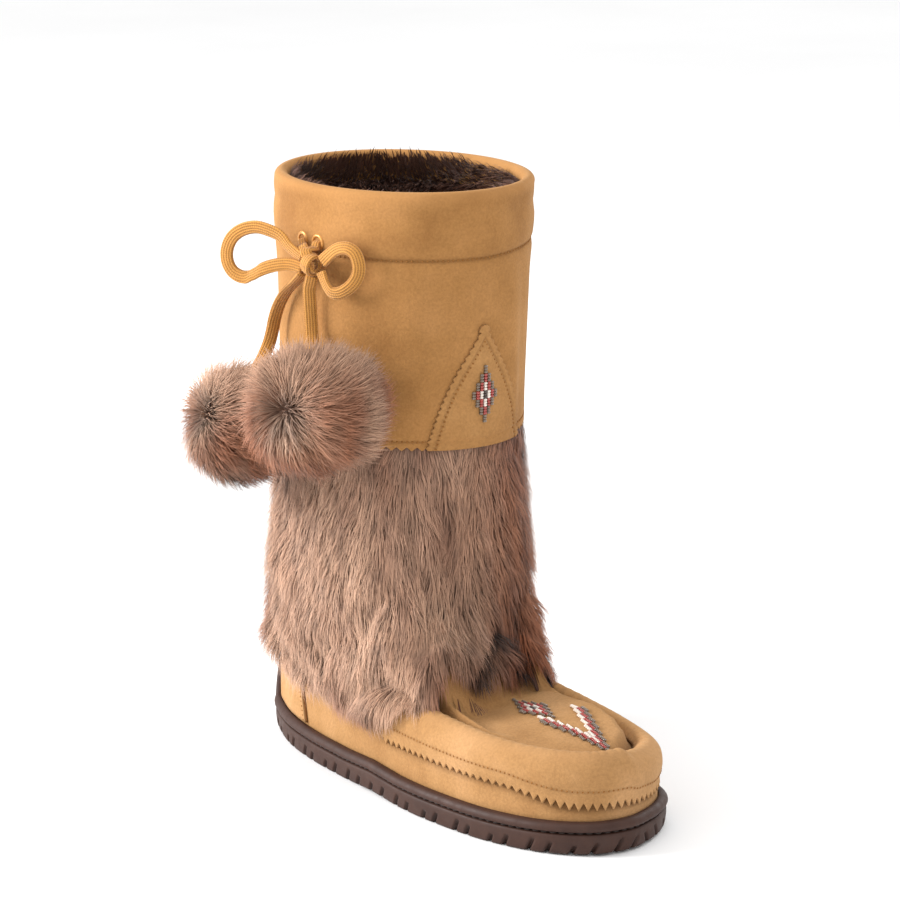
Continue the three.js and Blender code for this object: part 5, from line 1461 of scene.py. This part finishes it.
def makePelt():
    count = fur["columns"]
    place = np.arange(count) / count
    hem = furHemRow(place)
    top = fur["top"]
    shares = np.linspace(0, 1, 70)
    rows = [hem + (top - hem) * s for s in shares]
    stands = [peltStand(place, r, s) for r, s in zip(rows, shares)]
    low = np.where(np.interp(place * columns, np.arange(columns), alongOf) > 0.45, 2.2, 0.6)
    outer = np.stack([onLast(place, r, st) for r, st in zip(rows, stands)])
    inner = np.stack([onLast(place, hem + (top - hem) * s, np.where(s < 0.3, low, 0.6)) for s in np.linspace(0, 1, 20)])
    zero = np.zeros(outer.shape[:2])
    fold = np.stack([foldAt(place, r)[0] for r in rows])
    # Painted shade on the pelt under the hairs, deeper in the instep crease
    base = wallPiece("fur_pelt", outer, inner, True, finish["fur"],
                     {"tone": (zero + 0.3, 0.3), "along": (zero + 0.25, 0.2), "fold": (np.maximum(0.3, fold), 0.5),
                      "ruddy": (zero, 0.0), "pale": (zero, 0.0)})
    return base, outer, np.stack(rows), fold


def hairField(outer):
    up = unit(np.gradient(outer, axis=0))
    side = unit(np.roll(outer, -1, 1) - np.roll(outer, 1, 1))
    out = unit(np.cross(up, side))
    return up, side, out


def makeFurHairs(outer, rows, fold):
    up, side, out = hairField(outer)
    place = np.broadcast_to(np.arange(outer.shape[1]) / outer.shape[1], outer.shape[:2])
    height = outer[..., 2]
    turned = frontness(place)
    sway = 0.35 * np.sin(2 * np.pi * place * 4 + height / 22) + 0.2 * np.sin(2 * np.pi * place * 11 - height / 13)
    tuck = smooth(rows, 11.75, 12.0)
    lay = (0.5 - 0.42 * tuck)[..., None] + 0.2 * fold[..., None]
    down = np.array([0, 0, -1.0]) - out * (np.array([0, 0, -1.0]) * out).sum(-1, keepdims=True)
    comb = unit(0.6 * unit(down) - 0.4 * up + side * sway[..., None] * 0.6 + out * lay)
    # Painted shade in the instep crease, and on one side of the front low down
    side_shade = smooth(-turned, -0.2, -0.02) * smooth(turned + 0.2, 0, 0.1)
    painted_shade = np.clip(fold * 0.85 + 0.25 * side_shade * (1 - smooth(height, 90, 150)), 0, 0.92)
    ruddy = smooth(-outer[..., 1], -30, 20) * smooth(outer[..., 0], -25, 20)
    pale = smooth(-outer[..., 0], 10, 50) * smooth(outer[..., 1], -30, 20) * (0.5 + 0.5 * np.sin(place * 40))
    pieces = []
    half = 32
    for name, rowsIn, nudge in (("fur_hair_ankle", slice(0, half + 1), 11), ("fur_hair_shaft", slice(half, None), 12)):
        part = outer[rowsIn]
        flat = {"comb": comb[rowsIn].reshape(-1, 3), "out": out[rowsIn].reshape(-1, 3), "fold": painted_shade[rowsIn].ravel(),
                "ruddy": ruddy[rowsIn].ravel(), "pale": pale[rowsIn].ravel()}
        piece = newPiece(name, part.reshape(-1, 3), sheetFaces(part.shape[0], part.shape[1], True), finish["fur"],
                         flat)
        area = sum(p.area for p in piece.data.polygons)
        density = min(fur["density"], 33000 / area)
        pieces.append(keep(grow(piece, trees["hair"], Density=density, Length=fur["length"] * mm,
                                Width=fur["width"] * mm, Stray=0.16, Clump=0.9, ClumpSize=110.0, Seed=nudge,
                                Strand=shapes["hair"], Material=finish["fur"])))
    return pieces


peltPiece, peltOuter, peltRows, peltFold = makePelt()
keep(peltPiece, "fur_band")
makeFurHairs(peltOuter, peltRows, peltFold)
print("stage: fur band")


# Pompoms: balls of pelt, their hairs parted at a crown darkened with painted shade
pompoms = {
    "rear": {"middle": (-86.5, 73, 188), "radius": 21.0, "crown": (-0.75, 0.2, 0.3), "lobe": None},
    "front": {"middle": (-85.5, 11, 207), "radius": 23.5, "crown": (-0.78, -0.25, 0.1), "lobe": (0.35, -0.75, 0.1)},
}
pomHair = {"count": 21000, "length": 16.0, "width": 0.42}


def ballMesh(rings=40, around=64):
    polar = np.linspace(0, np.pi, rings)[:, None]
    turn = np.linspace(0, 2 * np.pi, around, endpoint=False)[None]
    turn = -turn
    return np.stack([np.sin(polar) * np.cos(turn), np.sin(polar) * np.sin(turn), -np.cos(polar) + 0 * turn], -1)


def makePompom(key):
    pom = pompoms[key]
    away = ballMesh()
    crown = unit(np.array(pom["crown"]))
    facing = (away * crown).sum(-1)
    wave = 0.05 * np.sin(5 * away[..., 0] * 2 + 3 * away[..., 2])
    radius = pom["radius"] * (1 + wave - 0.16 * smooth(facing, 0.8, 1.0))
    if pom["lobe"]:
        near = (away * unit(np.array(pom["lobe"]))).sum(-1)
        radius = radius * (1 + 0.28 * smooth(near, 0.35, 0.95) - 0.1 * np.exp(-((near - 0.3) / 0.12) ** 2))
    points = np.array(pom["middle"]) + away * radius[..., None]
    rings, around = points.shape[:2]
    fromCrown = unit(away * facing[..., None] - crown)
    swirl = np.cross(crown, away)
    comb = unit(away * 0.62 + fromCrown * 0.6 + swirl * 0.4 + np.array([0, 0, -0.2]))
    # Painted shade at the crown's parting and under the ball, and a painted highlight on its top
    dark = np.clip(0.45 * smooth(facing, 0.93, 0.995) + 0.25 * smooth(-away[..., 2], 0.4, 1.0), 0, 0.8)
    ruddy = smooth(facing, 0.1, 0.7) * (1 - smooth(facing, 0.8, 0.95))
    pale = smooth(away[..., 2], 0.1, 0.8)
    faces = sheetFaces(rings, around, True)
    flat = {"comb": comb.reshape(-1, 3), "out": away.reshape(-1, 3), "fold": dark.ravel(), "ruddy": ruddy.ravel(),
            "pale": pale.ravel()}
    core = newPiece("pompom_core_" + key, points.reshape(-1, 3), faces, finish["pomFur"],
                    {"tone": np.full(rings * around, 0.3), "along": np.full(rings * around, 0.2),
                     "fold": np.maximum(0.25, dark.ravel()), "ruddy": ruddy.ravel(), "pale": pale.ravel()})
    piece = newPiece("pompom_hair_" + key, points.reshape(-1, 3), faces, finish["pomFur"], flat)
    area = sum(p.area for p in piece.data.polygons)
    hair = grow(piece, trees["hair"], Density=pomHair["count"] / area, Length=pomHair["length"] * mm,
                Width=pomHair["width"] * mm, Stray=0.32, Clump=0.75, ClumpSize=120.0, Seed=21 + len(key),
                Strand=shapes["hair"], Material=finish["pomFur"])
    return core, hair


pomPieces = {key: makePompom(key) for key in pompoms}


# The lining's pile shows inside the collar, and some of it stands above the rim at the back
def makePile():
    count = 240
    place = np.arange(count) / count
    levels = np.linspace(236, 307, 18)
    outer = np.stack([onLast(place, rowAtHeight(place, np.full(count, z)), -5.1 if z > 294 else -4.6) for z in levels])
    out = -normalAt(np.broadcast_to(place, outer.shape[:2]), 12.8)
    back = smooth(outer[..., 1], 40, 110)
    rise = smooth(outer[..., 2], 285, 303)
    comb = unit(out * 0.6 + np.array([0, 0, 1.0]) * (-0.45 + (0.75 + 0.75 * back) * rise)[..., None])
    # Painted highlight on the pile that stands above the rim, and a little painted shade over all of it
    flat = {"comb": comb.reshape(-1, 3), "out": -out.reshape(-1, 3), "fold": np.zeros(outer.shape[:2]).ravel() + 0.1,
            "ruddy": np.zeros(outer.shape[:2]).ravel(), "pale": (0.4 * rise).ravel()}
    faces = sheetFaces(len(levels), count, True)
    piece = newPiece("pile_hair", outer.reshape(-1, 3), faces, finish["pile"], flat)
    area = sum(p.area for p in piece.data.polygons)
    return grow(piece, trees["hair"], Density=30000 / area, Length=8.0 * mm, Width=0.7 * mm, Stray=0.25, Clump=0.9,
                ClumpSize=90.0, Seed=31, Strand=shapes["hair"], Material=finish["pile"])


keep(makePile())
print("stage: pompoms and lining")


# Everything rides on the boot's one body
for piece, nodes in finished:
    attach(piece, "root")
    if nodes:
        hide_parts(*nodes)
for piece in eyeletPieces + [strandPiece, knotPiece]:
    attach(piece, "root")
for piece, node in zip(eyeletPieces, ("eyelet_rear", "eyelet_front")):
    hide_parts(node)
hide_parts("lace_crossing")
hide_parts("lace_knot")
cordNodes = {"rearLoop": "lace_loop_rear", "frontLoop": "lace_loop_front", "rearEnd": "lace_end_rear",
             "frontEnd": "lace_end_front"}
for key, (core, hair) in pomPieces.items():
    for piece in (core, hair):
        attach(piece, "root")
    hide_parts("pompom_" + key)
for key, (piece, path, length) in laceEnds.items():
    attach(piece, "root")
    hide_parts(cordNodes[key])
    withPieces = list(pomPieces["rear" if key == "rearEnd" else "front"]) if "End" in key else []
    if key == "rearEnd":
        withPieces.append(knotPiece)
for shape in shapes.values():
    bpy.data.objects.remove(shape)


# Plain pale floor and soft studio light
studio = {"world": 1.0, "key": 46.0, "top": 5.0, "rim": 5.0}


def makeStudio():
    scene = bpy.context.scene
    scene.view_settings.view_transform = "Standard"
    world = bpy.data.worlds.new("studio")
    scene.world = world
    world.use_nodes = True
    background = next(n for n in world.node_tree.nodes if n.type == "BACKGROUND")
    background.inputs[0].default_value = (1.0, 1.0, 1.0, 1)
    background.inputs[1].default_value = studio["world"]
    for name, energy, size, place in (("key", studio["key"], 0.8, (-1.4, 0.95, 0.8)),
                                      ("top", studio["top"], 1.2, (-0.3, -0.7, 1.9)),
                                      ("rim", studio["rim"], 0.8, (1.4, 0.2, 0.9))):
        data = bpy.data.lights.new(name, "AREA")
        data.energy, data.size = energy, size
        light = bpy.data.objects.new(name, data)
        light.location = place
        light.rotation_mode = "QUATERNION"
        light.rotation_quaternion = (Vector((0, 0, 0.15)) - Vector(place)).to_track_quat("-Z", "Y")
        scene.collection.objects.link(light)
    mesh = bpy.data.meshes.new("floor")
    mesh.from_pydata([(-6, -6, 0), (6, -6, 0), (6, 6, 0), (-6, 6, 0)], [], [(0, 1, 2, 3)])
    floor = bpy.data.objects.new("floor", mesh)
    scene.collection.objects.link(floor)
    floor.data.materials.append(makePlain("white_sweep", "#F6F6F6", "#FAFAFA", 400.0, 0.8, 0.1, 0.01))


makeStudio()
print("stage: done")
